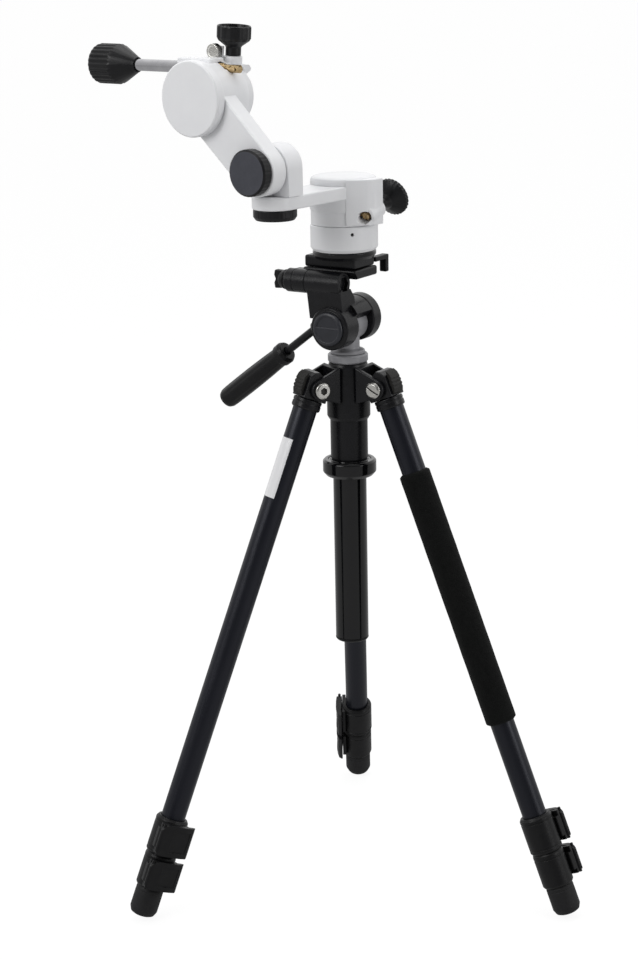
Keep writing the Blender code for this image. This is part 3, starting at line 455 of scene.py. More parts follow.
# ------------------------------------------------------------------ materials
FINISHES = {
    "white_paint": dict(
        base=(0.82, 0.825, 0.845), mottle=(0.85, 0.855, 0.87), rough=0.34, spread=0.05,
        blotch=30, grain=900, bump=0.04, depth=0.00006, coat=0.3, coat_rough=0.16,
        edge=(0.86, 0.86, 0.88), edge_size=0.0007, rounding=0.0008),
    "black_plastic": dict(
        base=(0.0040, 0.0040, 0.0046), mottle=(0.0065, 0.0065, 0.0072), rough=0.40,
        spread=0.08, blotch=120, grain=2600, bump=0.35, depth=0.00005,
        edge=(0.018, 0.018, 0.020), edge_size=0.0005, specular=0.24),
    "knob_black": dict(
        base=(0.0052, 0.0052, 0.0060), mottle=(0.0090, 0.0090, 0.0104), rough=0.34,
        spread=0.07, blotch=150, grain=3000, bump=0.25, depth=0.00004,
        edge=(0.030, 0.030, 0.034), edge_size=0.0005, specular=0.27),
    "black_casting": dict(
        base=(0.0038, 0.0038, 0.0048), mottle=(0.0070, 0.0070, 0.0088), rough=0.32,
        spread=0.08, blotch=160, grain=1500, bump=0.4, depth=0.00010, coat=0.08,
        coat_rough=0.22, edge=(0.030, 0.030, 0.034), rounding=0.0008, specular=0.24),
    # its edge colour, about ten times its base, is a painted highlight along the tab's
    # rounded edges
    "tab_plastic": dict(
        base=(0.0075, 0.0070, 0.0060), mottle=(0.0130, 0.0120, 0.0105), rough=0.62,
        spread=0.08, blotch=200, grain=2200, bump=0.5, depth=0.00008,
        edge=(0.070, 0.070, 0.074), edge_size=0.0008, specular=0.30),
    "column_gloss": dict(
        base=(0.0022, 0.0022, 0.0028), mottle=(0.0034, 0.0034, 0.0040), rough=0.13,
        spread=0.04, blotch=60, grain=500, bump=0.05, depth=0.00006, coat=0.3,
        coat_rough=0.05, edge=(0.020, 0.020, 0.022), streak=(900, 900, 12),
        specular=0.27),
    "leg_anodised": dict(
        base=(0.0085, 0.0095, 0.0150), mottle=(0.0115, 0.0125, 0.0195), rough=0.34,
        spread=0.06, metal=0.45, blotch=25, grain=2500, bump=0.12, depth=0.00003,
        streak=(1400, 1400, 10), edge=(0.05, 0.05, 0.06), stretch=(1, 1, 0.2),
        specular=0.45),
    "grip_foam": dict(
        base=(0.0026, 0.0028, 0.0027), mottle=(0.0052, 0.0055, 0.0052), rough=0.96,
        spread=0.03, blotch=220, grain=1200, bump=0.9, depth=0.00035, cells=900,
        specular=0.12, sheen=0.03, rounding=0.0003),
    "foot_rubber": dict(
        base=(0.0055, 0.0055, 0.0064), mottle=(0.0090, 0.0090, 0.0100), rough=0.62,
        spread=0.08, blotch=140, grain=1600, bump=0.5, depth=0.0001,
        edge=(0.018, 0.018, 0.018), specular=0.34),
    "grey_alloy": dict(
        base=(0.25, 0.25, 0.265), mottle=(0.31, 0.31, 0.325), rough=0.46, spread=0.07,
        metal=0.35, blotch=130, grain=2400, bump=0.35, depth=0.00005,
        edge=(0.48, 0.48, 0.50)),
    "steel": dict(
        base=(0.56, 0.55, 0.52), mottle=(0.68, 0.67, 0.64), rough=0.26, spread=0.09,
        metal=1.0, blotch=260, grain=1200, bump=0.3, depth=0.00005,
        edge=(0.85, 0.85, 0.83)),
    "chrome": dict(
        base=(0.47, 0.47, 0.49), mottle=(0.56, 0.56, 0.575), rough=0.12, spread=0.03,
        metal=1.0, blotch=90, grain=700, bump=0.05, depth=0.00004,
        streak=(1600, 1600, 18)),
    "brass": dict(
        base=(0.44, 0.30, 0.135), mottle=(0.64, 0.48, 0.27), rough=0.30, spread=0.10,
        metal=1.0, blotch=300, grain=1500, bump=0.35, depth=0.00006,
        edge=(0.80, 0.60, 0.34), speck=((0.08, 0.05, 0.02), 320.0, 0.60)),
    "slate_face": dict(
        base=(0.034, 0.036, 0.048), mottle=(0.044, 0.046, 0.060), rough=0.50,
        spread=0.06, blotch=70, grain=2600, bump=0.45, depth=0.00005,
        edge=(0.10, 0.10, 0.12)),
    "cap_black": dict(
        base=(0.010, 0.011, 0.016), mottle=(0.015, 0.016, 0.023), rough=0.40,
        spread=0.06, blotch=120, grain=2400, bump=0.3, depth=0.00005,
        edge=(0.07, 0.07, 0.085)),
    "label_vinyl": dict(
        base=(0.78, 0.78, 0.80), mottle=(0.83, 0.83, 0.84), rough=0.34, spread=0.05,
        blotch=40, grain=400, bump=0.05, depth=0.00005, coat=0.2),
    # near-black: the grub screw's own colour, and painted shade on the hinge bolts'
    # socket and slot floors
    "socket_black": dict(
        base=(0.010, 0.010, 0.010), mottle=(0.030, 0.028, 0.025), rough=0.55,
        spread=0.1, blotch=400, grain=2000, bump=0.3, depth=0.00005),
}
MATERIALS = {name: material(name, **finish) for name, finish in FINISHES.items()}


def part(piece, finish, body=None, smooth=34.0, patch=None):
    """Finishes a piece: material, shading and the body it rides.

    A piece called <node>_look replaces that node and takes its body; any other is
    given its body. patch is a second finish and a test of a face's centre in mm."""
    clean(piece)
    data = piece.data
    data.materials.clear()
    data.materials.append(MATERIALS[finish])
    if patch:
        data.materials.append(MATERIALS[patch[0]])
        for face in data.polygons:
            if patch[1](face.center / MM):
                face.material_index = 1
    data.shade_smooth()
    data.set_sharp_from_angle(angle=math.radians(smooth))
    mod = piece.modifiers.new("WeightedNormal", "WEIGHTED_NORMAL")
    mod.keep_sharp = True
    mod.weight = 60
    if body is None:
        node = piece.name.removesuffix("_look")
        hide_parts(node)
        body = BODY_OF[node]
    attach(piece, body)


# ------------------------------------------------------------------ shoulder
PIVOT_R, PIVOT_Z = 40.0, 539.9  # leg hinges, from the column's axis
HINGE_BORE = 3.2
HUB_BOTTOM, SLEEVE_R, SLEEVE_BOTTOM, BORE_R = 503.5, 19.2, 461.0, 17.6
EAR_IN, EAR_OUT = 13.2, 17.5  # half widths of the slot and of the arm
ARM_SIDE = ([(18.2, -17.0), (31.0, -12.5)] + arc(PIVOT_R, 0, 10.6, -80, 64, 18)
            + [(18.2, 21.0)])


def leg_radial(leg):
    """Upright frame on the column's axis with X towards the leg's hinge."""
    hinge = at(leg + "_leg_fold")
    out = Vector((hinge.x - COLUMN.x, hinge.y - COLUMN.y, 0)).normalized()
    return square(column.translation, out, Z)


radials = {leg: leg_radial(leg) for leg in LEGS}
shoulder = lathe("shoulder_look", [
    (19.4, HUB_TOP, 0.8), (20.2, 559.5, 1.0), (21.4, 547.0, 2.0), (22.2, 522.0, 2.0),
    (22.2, 507.0, 1.0), (20.2, HUB_BOTTOM, 0.6), (SLEEVE_R, HUB_BOTTOM, 0.3),
    (SLEEVE_R, SLEEVE_BOTTOM + 1.6, 0.2), (SLEEVE_R - 0.5, SLEEVE_BOTTOM + 1.2, 0.1),
    (SLEEVE_R - 0.5, SLEEVE_BOTTOM, 0.1), (BORE_R, SLEEVE_BOTTOM, 0.1),
    (BORE_R, HUB_TOP, 0.2)], column, closed=True)
steps = [("+", prism("arm", ARM_SIDE, -EAR_OUT, EAR_OUT,
                     radials[leg] @ shift(0, 0, PIVOT_Z) @ turn(90, "X"), bevel=1.4))
         for leg in LEGS]
for leg in LEGS:
    steps += [
        ("-", block("slot", (22.3, -EAR_IN, PIVOT_Z - 40), (70, EAR_IN, PIVOT_Z + 45),
                    radials[leg])),
        ("-", rod("pin", HINGE_BORE, -30, 30,
                  radials[leg] @ shift(PIVOT_R, 0, PIVOT_Z) @ turn(90, "X"), 32))]
steps.append(("-", rod("bore", BORE_R, 440, 580, column, 96)))
combine(shoulder, *steps)
part(shoulder, "black_casting")

# ------------------------------------------------------------------ column
COLUMN_R, COLUMN_TOP, COLUMN_END = 17.2, 562.7, 268.0
part(lathe("centre_column_look", [
    (0, COLUMN_TOP), (COLUMN_R, COLUMN_TOP), (COLUMN_R, COLUMN_END),
    (15.5, COLUMN_END), (15.5, 556.0), (0, 556.0)], column, seg=128), "column_gloss")
part(lathe("column_end_cap_look", [
    (0, 281.0), (15.1, 281.0), (15.1, 267.7, 0.1), (17.3, 267.7, 0.4),
    (17.3, 266.2, 0.9), (15.9, 264.5, 0.8), (9.0, 264.5, 0.3), (8.4, 265.3, 0.3),
    (0, 265.3)], column, seg=72), "black_plastic")
part(lathe("column_collar_look", [
    (25.8, 460.7, 1.4), (27.6, 458.6, 1.6), (27.6, 447.6, 2.2), (24.0, 443.5, 1.4),
    (19.8, 443.5, 0.3), (19.4, 444.1, 0.3), (BORE_R, 444.1, 0.1), (BORE_R, 460.7, 0.1),
    (19.5, 460.7, 0.2), (20.0, 459.9, 0.2), (21.8, 459.9, 0.2), (22.4, 460.7, 0.2)],
    column, seg=128, closed=True), "column_gloss")

# ------------------------------------------------------------------ legs
# In the tube frame Z runs up the leg from its hinge, so the leg lies at negative Z.
LEG_AXIS_X = 2.261  # tube axis, off the hinge
UPPER_R, MID_R, LOW_R = 12.5, 11.3, 10.1
UPPER_IN, MID_IN, LOW_IN = 11.75, 10.45, 9.2
TUBE_TOP, TUBE_END = -13.6, -475.99
MID_TOP, LOW_TOP = -65.0, -85.0
# top and bottom of the two clamps and the foot
UPPER_CLAMP = (-465.09, -504.09)
LOWER_CLAMP = (UPPER_CLAMP[1] - GAP, -541.09)
BOOT = (LOWER_CLAMP[1] - GAP, -572.09)
UPPER_CLAMP_R, LOWER_CLAMP_R = 17.0, 16.3
LEVER_PIVOT = (17.5, 20.7)
BOLT_SOCKET_Z, BOLT_SLOT_Z = 19.2, -20.4  # floors of the cuts in the bolt's ends
# outlines as (x, y); the first two are seen along the hinge, y up the leg
CASTING_SIDE = ([(1.7, 14.6)] + arc(0, 0, 12.6, 100, 200, 14)
                + [(-11.6, -12.2), (14.6, -12.2), (14.6, 9.5), (10.4, 15.0),
                   (5.7, 16.8)])
TAB_SIDE = [(14.9, -11.0), (17.2, -9.5), (18.9, -5.0), (18.4, -4.4), (18.5, -3.2),
            (19.3, -2.6), (19.4, -0.9), (18.6, -0.4), (18.6, 0.8), (19.4, 1.3),
            (19.4, 3.0), (18.6, 3.5), (18.5, 4.7), (19.2, 5.3), (17.8, 10.5),
            (14.9, 14.5)]
LEVER_PLAN = (arc(*LEVER_PIVOT, 3.0, -90, 90, 10)
              + [(6.0, 24.6), (-3.0, 24.6), (-10.0, 23.6), (-16.0, 22.0),
                 (-18.5, 18.9), (-18.1, 17.9), (-16.0, 17.7), (-8.0, 18.4),
                 (4.0, 17.9)])


def hinge_bolt(leg, bolt):
    """Socket head on one end, slotted dome nut on the other."""
    piece = lathe(leg + "_hinge_bolt_look", [
        (0, 21.8), (6.6, 21.8, 0.5), (8.3, 20.7, 1.0), (8.3, 18.4, 0.1),
        (8.3, 17.8, 0.2), (2.9, 17.8, 0.1), (2.9, -17.8, 0.1), (8.3, -17.8, 0.2),
        (8.3, -19.8, 1.0), (6.4, -21.6, 0.8), (0, -21.8)], bolt, seg=60)
    combine(piece,
            ("-", rod("socket", 4.0, BOLT_SOCKET_Z, 24.0, bolt, 6)),
            ("-", block("slot", (-0.9, -10, -24), (0.9, 10, BOLT_SLOT_Z),
                        bolt @ turn(28, "Z"))))
    # the floors of the hex socket and the slot take the near-black finish: painted shade
    # in the recesses
    part(piece, "steel", patch=(
        "socket_black", lambda c: abs(c.z - BOLT_SOCKET_Z) < 0.15
        and math.hypot(c.x, c.y) < 4.1 or abs(c.z - BOLT_SLOT_Z) < 0.1))


def leg_casting(leg, side_on, tube):
    piece = prism(leg + "_leg_casting_look", fillet(CASTING_SIDE, 1.0, 4, True),
                  -12.9, 12.9, side_on, bevel=1.6)
    collar = lathe("collar", [
        (0, -10.0), (8, -10.0), (8, -12.6), (14.4, -12.6, 0.5), (14.8, -13.4, 0.4),
        (14.8, -15.8, 0.2), (14.3, -16.2, 0.2), (14.3, -17.0, 0.2),
        (14.8, -17.4, 0.2), (14.8, -21.6, 0.5), (13.8, -23.0, 0.5), (0, -23.0)],
        tube, seg=72)
    combine(piece, ("+", collar),
            ("-", rod("hole", UPPER_R + GAP, -40, TUBE_TOP + GAP, tube, 72)),
            ("-", rod("pin", HINGE_BORE, -30, 30, side_on, 32)))
    part(piece, "black_casting")


def finish_clamp(piece, top, low, tube):
    """Adds the flat, ear and band that carry the lever."""
    ear = fillet([(9.0, 10.0), (18.6, 8.0), (19.4, 14.0), (18.5, 17.3), (9.0, 17.3)],
                 1.2, 4, True)
    combine(
        piece,
        ("+", block("flat", (-12.5, 13.4, low + 3.5), (18.5, 17.3, top - 3.5), tube,
                    bevel=0.7)),
        ("+", prism("ear", ear, low + 9.0, top - 9.0, tube, bevel=0.5)),
        ("+", block("band", (2.6, 12.9, low + 6.5), (4.2, 15.6, top - 6.5), tube,
                    bevel=0.3)))
    part(piece, "black_plastic")


def upper_clamp(leg, tube):
    top, low = UPPER_CLAMP
    radius = UPPER_CLAMP_R
    finish_clamp(lathe(leg + "_upper_clamp_look", [
        (15.2, top, 0.5), (15.9, top - 1.3, 0.2), (radius - 0.5, top - 2.0, 0.3),
        (radius, top - 3.0, 0.4), (radius, top - 5.2, 0.2),
        (radius - 0.6, top - 5.6, 0.15), (radius - 0.6, top - 6.5, 0.15),
        (radius, top - 6.9, 0.2), (radius, low + 5.6, 0.2),
        (radius - 0.5, low + 5.2, 0.15), (radius - 0.5, low + 4.4, 0.15),
        (radius, low + 4.0, 0.2), (radius, low + 1.8, 0.4), (radius - 1.2, low, 0.5),
        (MID_R + 0.35, low, 0.1), (MID_R + 0.35, TUBE_END - GAP, 0.1),
        (UPPER_R + GAP, TUBE_END - GAP, 0.1), (UPPER_R + GAP, top, 0.2)],
        tube, closed=True), top, low, tube)


def mid_section(leg, tube):
    """Middle tube with the lower clamp on its end."""
    top, low = LOWER_CLAMP
    radius = LOWER_CLAMP_R
    finish_clamp(lathe(leg + "_mid_section_look", [
        (MID_R, MID_TOP), (MID_R, top, 0.1), (14.8, top, 0.4),
        (radius - 0.4, top - 1.6, 0.5), (radius, top - 3.2, 0.4),
        (radius, top - 5.4, 0.2), (radius - 0.5, top - 5.8, 0.15),
        (radius - 0.5, top - 6.6, 0.15), (radius, top - 7.0, 0.2),
        (radius, low + 2.0, 0.4), (radius - 1.2, low, 0.5),
        (MID_IN, low, 0.1), (MID_IN, MID_TOP, 0.1)],
        tube, closed=True), top, low, tube)


def clamp_lever(name, top, low, tube):
    lever_top, lever_low = top - 3.0, low + 3.0
    piece = prism(name, LEVER_PLAN, lever_low, lever_top, tube)
    face = ([(-19.5, lever_top), (-19.5, lever_low)]
            + arc(20.6 - 6.0, lever_low + 6.0, 6.0, -90, 0, 10)
            + arc(20.6 - 10.0, lever_top - 10.0, 10.0, 0, 90, 14))
    trim = prism("trim", fillet(face, 1.6, 4, True), -40.0, -12.0,
                 tube @ turn(90, "X"))
    add_boolean(piece, "INTERSECT", trim)
    add_bevel(piece, 1.1, 3, angle=40)
    apply(piece)
    remove(trim)
    relief = fillet([(-13.0, 25.6), (7.0, 26.2), (7.0, 23.9), (-13.0, 22.3)],
                    0.2, 2, True)
    combine(piece, ("-", prism("relief", relief, low + 8.0, top - 8.0, tube)),
            ("+", rod("axle", 1.6, low + 2.6, top - 2.6,
                      tube @ shift(*LEVER_PIVOT, 0), 24, edge=0.3)))
    part(piece, "black_plastic")


def lower_section(leg, tube):
    """Lowest tube and its foot."""
    top, low = BOOT
    part(lathe(leg + "_lower_section_look", [
        (0, -553.0), (LOW_IN, -553.0), (LOW_IN, LOW_TOP), (LOW_R, LOW_TOP),
        (LOW_R, top, 0.1), (13.4, top, 0.6), (14.3, top - 2.2, 0.5),
        (14.4, top - 4.0, 0.1), (14.1, top - 4.4, 0.1), (14.1, top - 5.0, 0.1),
        (14.4, top - 5.4, 0.1), (14.4, low + 6.5, 1.8), (12.2, low + 1.6, 2.0),
        (8.8, low, 1.4), (4.0, low, 0.3), (3.2, low + 0.8, 0.3), (0, low + 0.8)],
        tube), "foot_rubber")


tubes = {}
for leg in LEGS:
    hinge_dir = -along(leg + "_leg_fold")
    leg_up = -along(leg + "_middle_extend")
    hinge = axes(at(leg + "_leg_fold"), hinge_dir.cross(leg_up), hinge_dir, leg_up)
    tube = tubes[leg] = hinge @ shift(LEG_AXIS_X, 0, 0)
    side_on = hinge @ turn(90, "X")
    hinge_bolt(leg, axes(at(leg + "_leg_fold"), Z, radials[leg].col[0].xyz, hinge_dir))
    leg_casting(leg, side_on, tube)
    part(prism(leg + "_angle_tab_look", TAB_SIDE, -8.5, 8.5, side_on, bevel=0.8, seg=2),
         "tab_plastic")
    part(lathe(leg + "_upper_tube_look", [
        (UPPER_R, TUBE_TOP), (UPPER_R, TUBE_END), (UPPER_IN, TUBE_END),
        (UPPER_IN, TUBE_TOP)], tube, seg=128, closed=True, edge=0.15), "leg_anodised")
    upper_clamp(leg, tube)
    clamp_lever(leg + "_upper_lever_look", *UPPER_CLAMP, tube)
    mid_section(leg, tube)
    clamp_lever(leg + "_lower_lever_look", *LOWER_CLAMP, tube)
    lower_section(leg, tube)

# ------------------------------------------------------------------ foam sleeve
FOAM_TOP, FOAM_END, FOAM_ROWS = -91.99, -362.99, 150
FOAM_R, FOAM_IN = 16.0, 12.8
FOAM_ROLL = 2.6  # length of each rolled end


def foam_row(i):
    z = FOAM_TOP + (FOAM_END - FOAM_TOP) * i / FOAM_ROWS
    from_end = min(z - FOAM_END, FOAM_TOP - z)
    return FOAM_R - 2.4 * max(0.0, 1.0 - from_end / FOAM_ROLL) ** 2.2, z


def foam_wave(theta, radius, z):
    """Soft unevenness of the outer face."""
    if radius < 13.2:
        return radius
    broad = Vector((math.cos(theta) * 2.2, math.sin(theta) * 2.2, z * 0.055))
    fine = Vector((math.cos(theta) * 16, math.sin(theta) * 16, z)) * 0.55
    return radius - 0.06 + 0.16 * noise.noise(broad) + 0.07 * noise.noise(fine)


part(lathe("right_foam_grip_look", [foam_row(i) for i in range(FOAM_ROWS + 1)]
           + [(FOAM_IN, FOAM_END), (FOAM_IN, FOAM_TOP)],
           tubes["right"], seg=160, closed=True, edge=0, wave=foam_wave),
     "grip_foam", smooth=60)

# ------------------------------------------------------------------ sticker
STICKER_Z = (-56.1, -119.1)
STICKER_ARC = (-52.0, 51.0)  # degrees round the tube
STICKER_LIFT = (0.04, 0.16)  # its two faces, above the tube
STICKER_COLUMNS, STICKER_ROWS = 24, 12


def sticker():
    """Blank sheet wrapped on the left leg's upper tube."""
    mesh = bmesh.new()

    def point(lift, i, j):
        radius = UPPER_R + lift
        angle = math.radians(
            STICKER_ARC[0] + (STICKER_ARC[1] - STICKER_ARC[0]) * i / STICKER_COLUMNS)
        z = STICKER_Z[0] + (STICKER_Z[1] - STICKER_Z[0]) * j / STICKER_ROWS
        return mesh.verts.new((radius * math.cos(angle) * MM,
                               radius * math.sin(angle) * MM, z * MM))

    under, over = [[[point(lift, i, j) for j in range(STICKER_ROWS + 1)]
                    for i in range(STICKER_COLUMNS + 1)] for lift in STICKER_LIFT]
    for sheet in (under, over):
        for i in range(STICKER_COLUMNS):
            for j in range(STICKER_ROWS):
                mesh.faces.new((sheet[i][j], sheet[i + 1][j],
                                sheet[i + 1][j + 1], sheet[i][j + 1]))
    for i in range(STICKER_COLUMNS):
        for j in (0, STICKER_ROWS):
            mesh.faces.new((under[i][j], under[i + 1][j], over[i + 1][j], over[i][j]))
    for j in range(STICKER_ROWS):
        for i in (0, STICKER_COLUMNS):
            mesh.faces.new((under[i][j], under[i][j + 1], over[i][j + 1], over[i][j]))
    return object_from("left_leg_sticker", mesh, tubes["left"])


part(sticker(), "label_vinyl", body=BODY_OF["left_upper_tube"])

# ------------------------------------------------------------------ pan head
SIDE_BORE = 4.4
PLATE_LOW, PLATE_TOP = 650.5, 660.0
SHOE_LOW, SHOE_STEP, SHOE_TOP = PLATE_TOP + GAP, 672.0, 677.7

part(lathe("pan_base_look", [
    (0, 571.8), (19.2, 571.8, 0.5), (20.5, 570.4, 0.6), (20.5, 564.4, 0.6),
    (19.4, 563.0, 0.4), (0, 563.0)], column), "grey_alloy")
stem = lathe("pan_stem_look", [
    (0, 600.0), (12.2, 600.0), (12.2, 577.4, 1.6), (16.4, 575.6, 0.6),
    (17.5, 574.6, 0.5), (17.5, 572.1, 0.2), (0, 572.1)], pan)
combine(stem, ("+", rod("barrel", 17.0, -12.5, 12.5, drum, 96, edge=1.0)))
part(stem, "grey_alloy")

# tilt body: two drums joined by a web, with a neck up to the side-tilt knuckle
body = lathe("tilt_body_look", [
    (0, 35.8), (18.2, 35.8, 0.2), (18.4, 35.2, 0.2), (20.4, 35.2, 0.2), (22.0, 33.6, 1.2),
    (22.0, 13.0, 0.4), (0, 13.0)], drum)
WEB = arc(0, 0, 17.6, 115, 245, 32) + arc(-4.0, 0, 23.4, 245, 115, 36)
NECK = [(6.0, 19.5), (8.0, 30.0, 3.0), (15.0, 39.0, 3.0), (31.0, 41.0, 2.0),
        (35.0, 37.0, 2.5), (33.0, 26.0, 5.0), (30.0, 8.0, 1.0), (14.0, 8.0),
        (14.0, 19.5)]
combine(
    body,
    ("+", prism("neck", fillet(NECK, 0.6, 5, True), -14.0, 26.0, tilt @ turn(90, "X"),
                bevel=0.5)),
    ("+", prism("web", WEB, -15.0, 15.0, drum)),
    ("+", lathe("far_drum", [(0, -13.0), (22.6, -13.0, 0.6), (24.0, -14.6, 1.4),
                             (24.0, -27.0, 2.0), (19.5, -33.0, 1.5), (12.0, -33.0, 0.3),
                             (11.4, -32.2, 0.3), (0, -32.2)],
                drum @ shift(-4.0, 0, 0))),
    ("+", lathe("knuckle", [(0, 13.0), (9.0, 13.0, 0.2), (9.3, 12.5, 0.2),
                            (9.9, 12.5, 0.2), (10.2, 13.0, 0.2), (SIDE_R, 13.0, 0.9),
                            (SIDE_R, -27.7, 0.5), (0, -27.7)], side_tilt, 72)),
    ("+", lathe("boss", [(0, 7.5), (7.2, 7.5, 1.2), (7.2, -8.0), (0, -8.0)],
                handle, 56)),
    ("-", rod("hex", 8.2, 9.0, 16.0, side_tilt, 6)),
    ("-", rod("side_bore", SIDE_BORE, -40.0, 4.0, side_tilt, 32)),
    ("-", rod("handle_bore", 3.4, -4.0, 20.0, handle, 32)))
part(body, "black_casting")

# drum cap: raised rim, a cord across it and a sunk upper half; local -X is up
cap = lathe("drum_cap_look", [
    (0, 38.9), (13.4, 38.9, 0.2), (13.9, 39.4, 0.2), (14.9, 39.4, 0.3),
    (16.6, 38.6, 0.6), (17.2, 37.4, 0.5), (17.2, 36.1, 0.2), (0, 36.1)], drum)
SUNK_HALF = [(-1.8, 12.6), (-1.8, -12.6)] + arc(0, 0, 12.73, 262, 98, 24)[1:-1]
combine(cap, ("-", prism("segment", SUNK_HALF, 38.2, 41.0, drum)),
        ("+", block("cord", (-1.5, -13.6, 38.0), (-0.2, 13.6, 39.3), drum,
                    bevel=0.25)))
part(cap, "cap_black")

part(lathe("handle_rod_look", [
    (0, 62.0), (3.0, 62.0), (3.0, 52.0, 0.2), (4.2, 50.0, 0.4), (4.2, 8.0, 0.5),
    (3.0, 7.8, 0.1), (3.0, -3.0), (0, -3.0)], handle, seg=56), "black_casting")

GRIP_FLUTES = (63.5, 143.0)  # heights between which the grip is fluted


def grip_wave(theta, radius, z):
    low, high = GRIP_FLUTES
    if low < z < high and radius > 9.0:
        fade = min(1.0, (z - low) / 4, (high - z) / 5)
        return radius - 0.30 * fade * (0.5 - 0.5 * math.cos(10 * theta)) ** 2
    return radius


def grip_radius(z):
    """Hand-shaped swell, drawn in below height 128."""
    waist = 0.75 * ((128 - z) / 60) ** 2 if z < 128 else 0
    return 11.0 + 0.3 * math.sin((140 - z) / 25) - waist


GRIP = ([(0, 150.0), (6.5, 150.0, 1.5), (9.4, 148.4, 1.6), (10.7, 145.0, 2.0)]
        + [(grip_radius(z), z, 0) for z in range(140, 65, -5)]
        + [(10.2, 64.5, 0.5), (10.3, 62.2, 0.3), (11.6, 60.6, 0.8), (11.9, 54.0, 1.4),
           (10.0, 50.4, 1.0), (4.6, 50.4, 0.3), (4.6, 56.0, 0), (3.4, 56.0, 0),
           (3.4, 63.0, 0), (0, 63.0)])
part(lathe("handle_grip_look", GRIP, handle, seg=120, wave=grip_wave), "black_plastic")

plate = block("platform_look", (-24.0, -40.5, PLATE_LOW), (19.0, 22.0, PLATE_TOP), pan,
              bevel=2.0)
combine(
    plate,
    ("+", block("web", (6.0, -53.0, 646.0), (30.0, -28.0, 657.0), pan, bevel=1.6)),
    ("+", lathe("barrel", [(0, -28.0), (SIDE_R, -28.0, 0.6), (SIDE_R, -42.0, 0.2),
                           (SIDE_R - 0.5, -42.4, 0.2), (SIDE_R - 0.5, -43.4, 0.2),
                           (SIDE_R, -43.8, 0.2), (SIDE_R, -51.5, 0.5),
                           (SIDE_R - 2.0, -54.0, 0.8), (0, -54.0)], side_tilt, 72)),
    ("-", rod("clear", SIDE_R + 0.5, -27.9, 30.0, side_tilt, 72)),
    ("-", rod("bore", SIDE_BORE, -70.0, -20.0, side_tilt, 32)))
part(plate, "black_casting")

# side-tilt lever: a shaft and hub with a two-lobed wing
lever = lathe("side_tilt_lever_look", [
    (0, 2.0), (4.0, 2.0), (4.0, -54.3, 0.1), (9.4, -54.3, 0.5), (10.2, -56.0, 0.8),
    (8.8, -60.0, 1.0), (7.0, -62.0, 0.8), (0, -62.0)], side_tilt, seg=64)
WING = [(-9.5, -68.0, 1.4), (-4.0, -69.0, 1.6), (0, -67.2, 2.0), (4.0, -69.0, 1.6),
        (9.5, -68.0, 1.4), (9.0, -60.0, 2.0), (5.5, -57.0, 1.0), (-5.5, -57.0, 1.0),
        (-9.0, -60.0, 2.0)]
combine(lever, ("+", prism("wing", fillet(WING, 0.5, 5, True), -3.2, 3.2,
                           side_tilt @ turn(90, "Z") @ turn(90, "X"), bevel=0.9)))
part(lever, "black_plastic")

# quick shoe, with a disc centred under the azimuth axis
shoe = block("quick_shoe_look", (-22.0, -39.5, SHOE_LOW), (17.0, 20.0, SHOE_STEP), pan,
             bevel=2.2)
combine(shoe, ("+", lathe("disc", [
    (0, SHOE_TOP), (31.2, SHOE_TOP, 0.3), (32.0, SHOE_TOP - 0.8, 0.4),
    (32.0, SHOE_STEP + 1.5, 0.5), (29.0, SHOE_STEP - 2.0, 0.4),
    (0, SHOE_STEP - 2.0)], Matrix.Translation(AZIMUTH_FOOT))))
part(shoe, "black_casting", patch=("column_gloss", lambda c: c.z > SHOE_STEP + 0.3))

hook = block("shoe_release_look", (-50.0, 12.0, 662.5), (-24.4, 20.0, 667.5), pan,
             bevel=1.0)
combine(hook, ("+", block("finger", (-50.0, 12.0, 649.5), (-44.0, 20.0, 666.0), pan,
                          bevel=1.2)))
part(hook, "black_plastic")

# ------------------------------------------------------------------ azimuth
PUCK_LOW, PUCK_TOP, PUCK_R = SHOE_TOP + GAP, 704.4, 34.0
RING_Z, DISC_Z = 719.0, 737.2
CAP_LOW, CAP_TOP = DISC_Z + GAP, 752.6
SLAB_LOW, SLAB_TOP = 731.5, 744.8
STUD_BORE, STUD_R = 4.4, 4.1  # elbow knobs' studs

puck = lathe("base_puck_look", [
    (0, PUCK_TOP), (33.0, PUCK_TOP, 0.5), (PUCK_R, PUCK_TOP - 1.0, 0.6),
    (PUCK_R, PUCK_LOW + 3.2, 0.9), (31.5, PUCK_LOW, 0.5), (0, PUCK_LOW)],
    mount, seg=128)
set_hole = mount @ shift(0, 0, 697) @ turn(52, "Z") @ turn(90, "Y")
combine(puck, ("-", rod("bore", 9.3, PUCK_TOP - 14, PUCK_TOP + 5, mount, 64)),
        ("-", rod("set", 1.75, 26.0, 40.0, set_hole, 28)))
part(puck, "white_paint")
grub = lathe("base_set_screw", [(0, 31.4), (1.55, 31.4, 0.2), (1.55, 27.0), (0, 27.0)],
             set_hole, 28)
combine(grub, ("-", rod("hex", 0.85, 30.2, 33.0, set_hole, 6)))
part(grub, "socket_black", body=BODY_OF["base_puck"])


def toothed(name, outer, low, high, place, teeth=48, depth=1.1):
    root, shoulder_r = outer - depth, outer - 0.1
    # share of a tooth's pitch, radius
    tooth = ((0.0, root), (0.22, root), (0.42, shoulder_r), (0.5, outer),
             (0.6, outer), (0.68, shoulder_r), (0.88, root))
    points = []
    for i in range(teeth):
        for share, radius in tooth:
            theta = math.tau * (i + share - 0.05) / teeth
            points.append((radius * math.cos(theta), radius * math.sin(theta)))
    return prism(name, points, low, high, place)


wheel = toothed("azimuth_wheel_look", 29.4, 714.0, 725.5, mount)
combine(wheel, ("+", rod("hub", 8.9, PUCK_TOP - 13.6, 715.0, mount, 48)))
part(wheel, "brass")

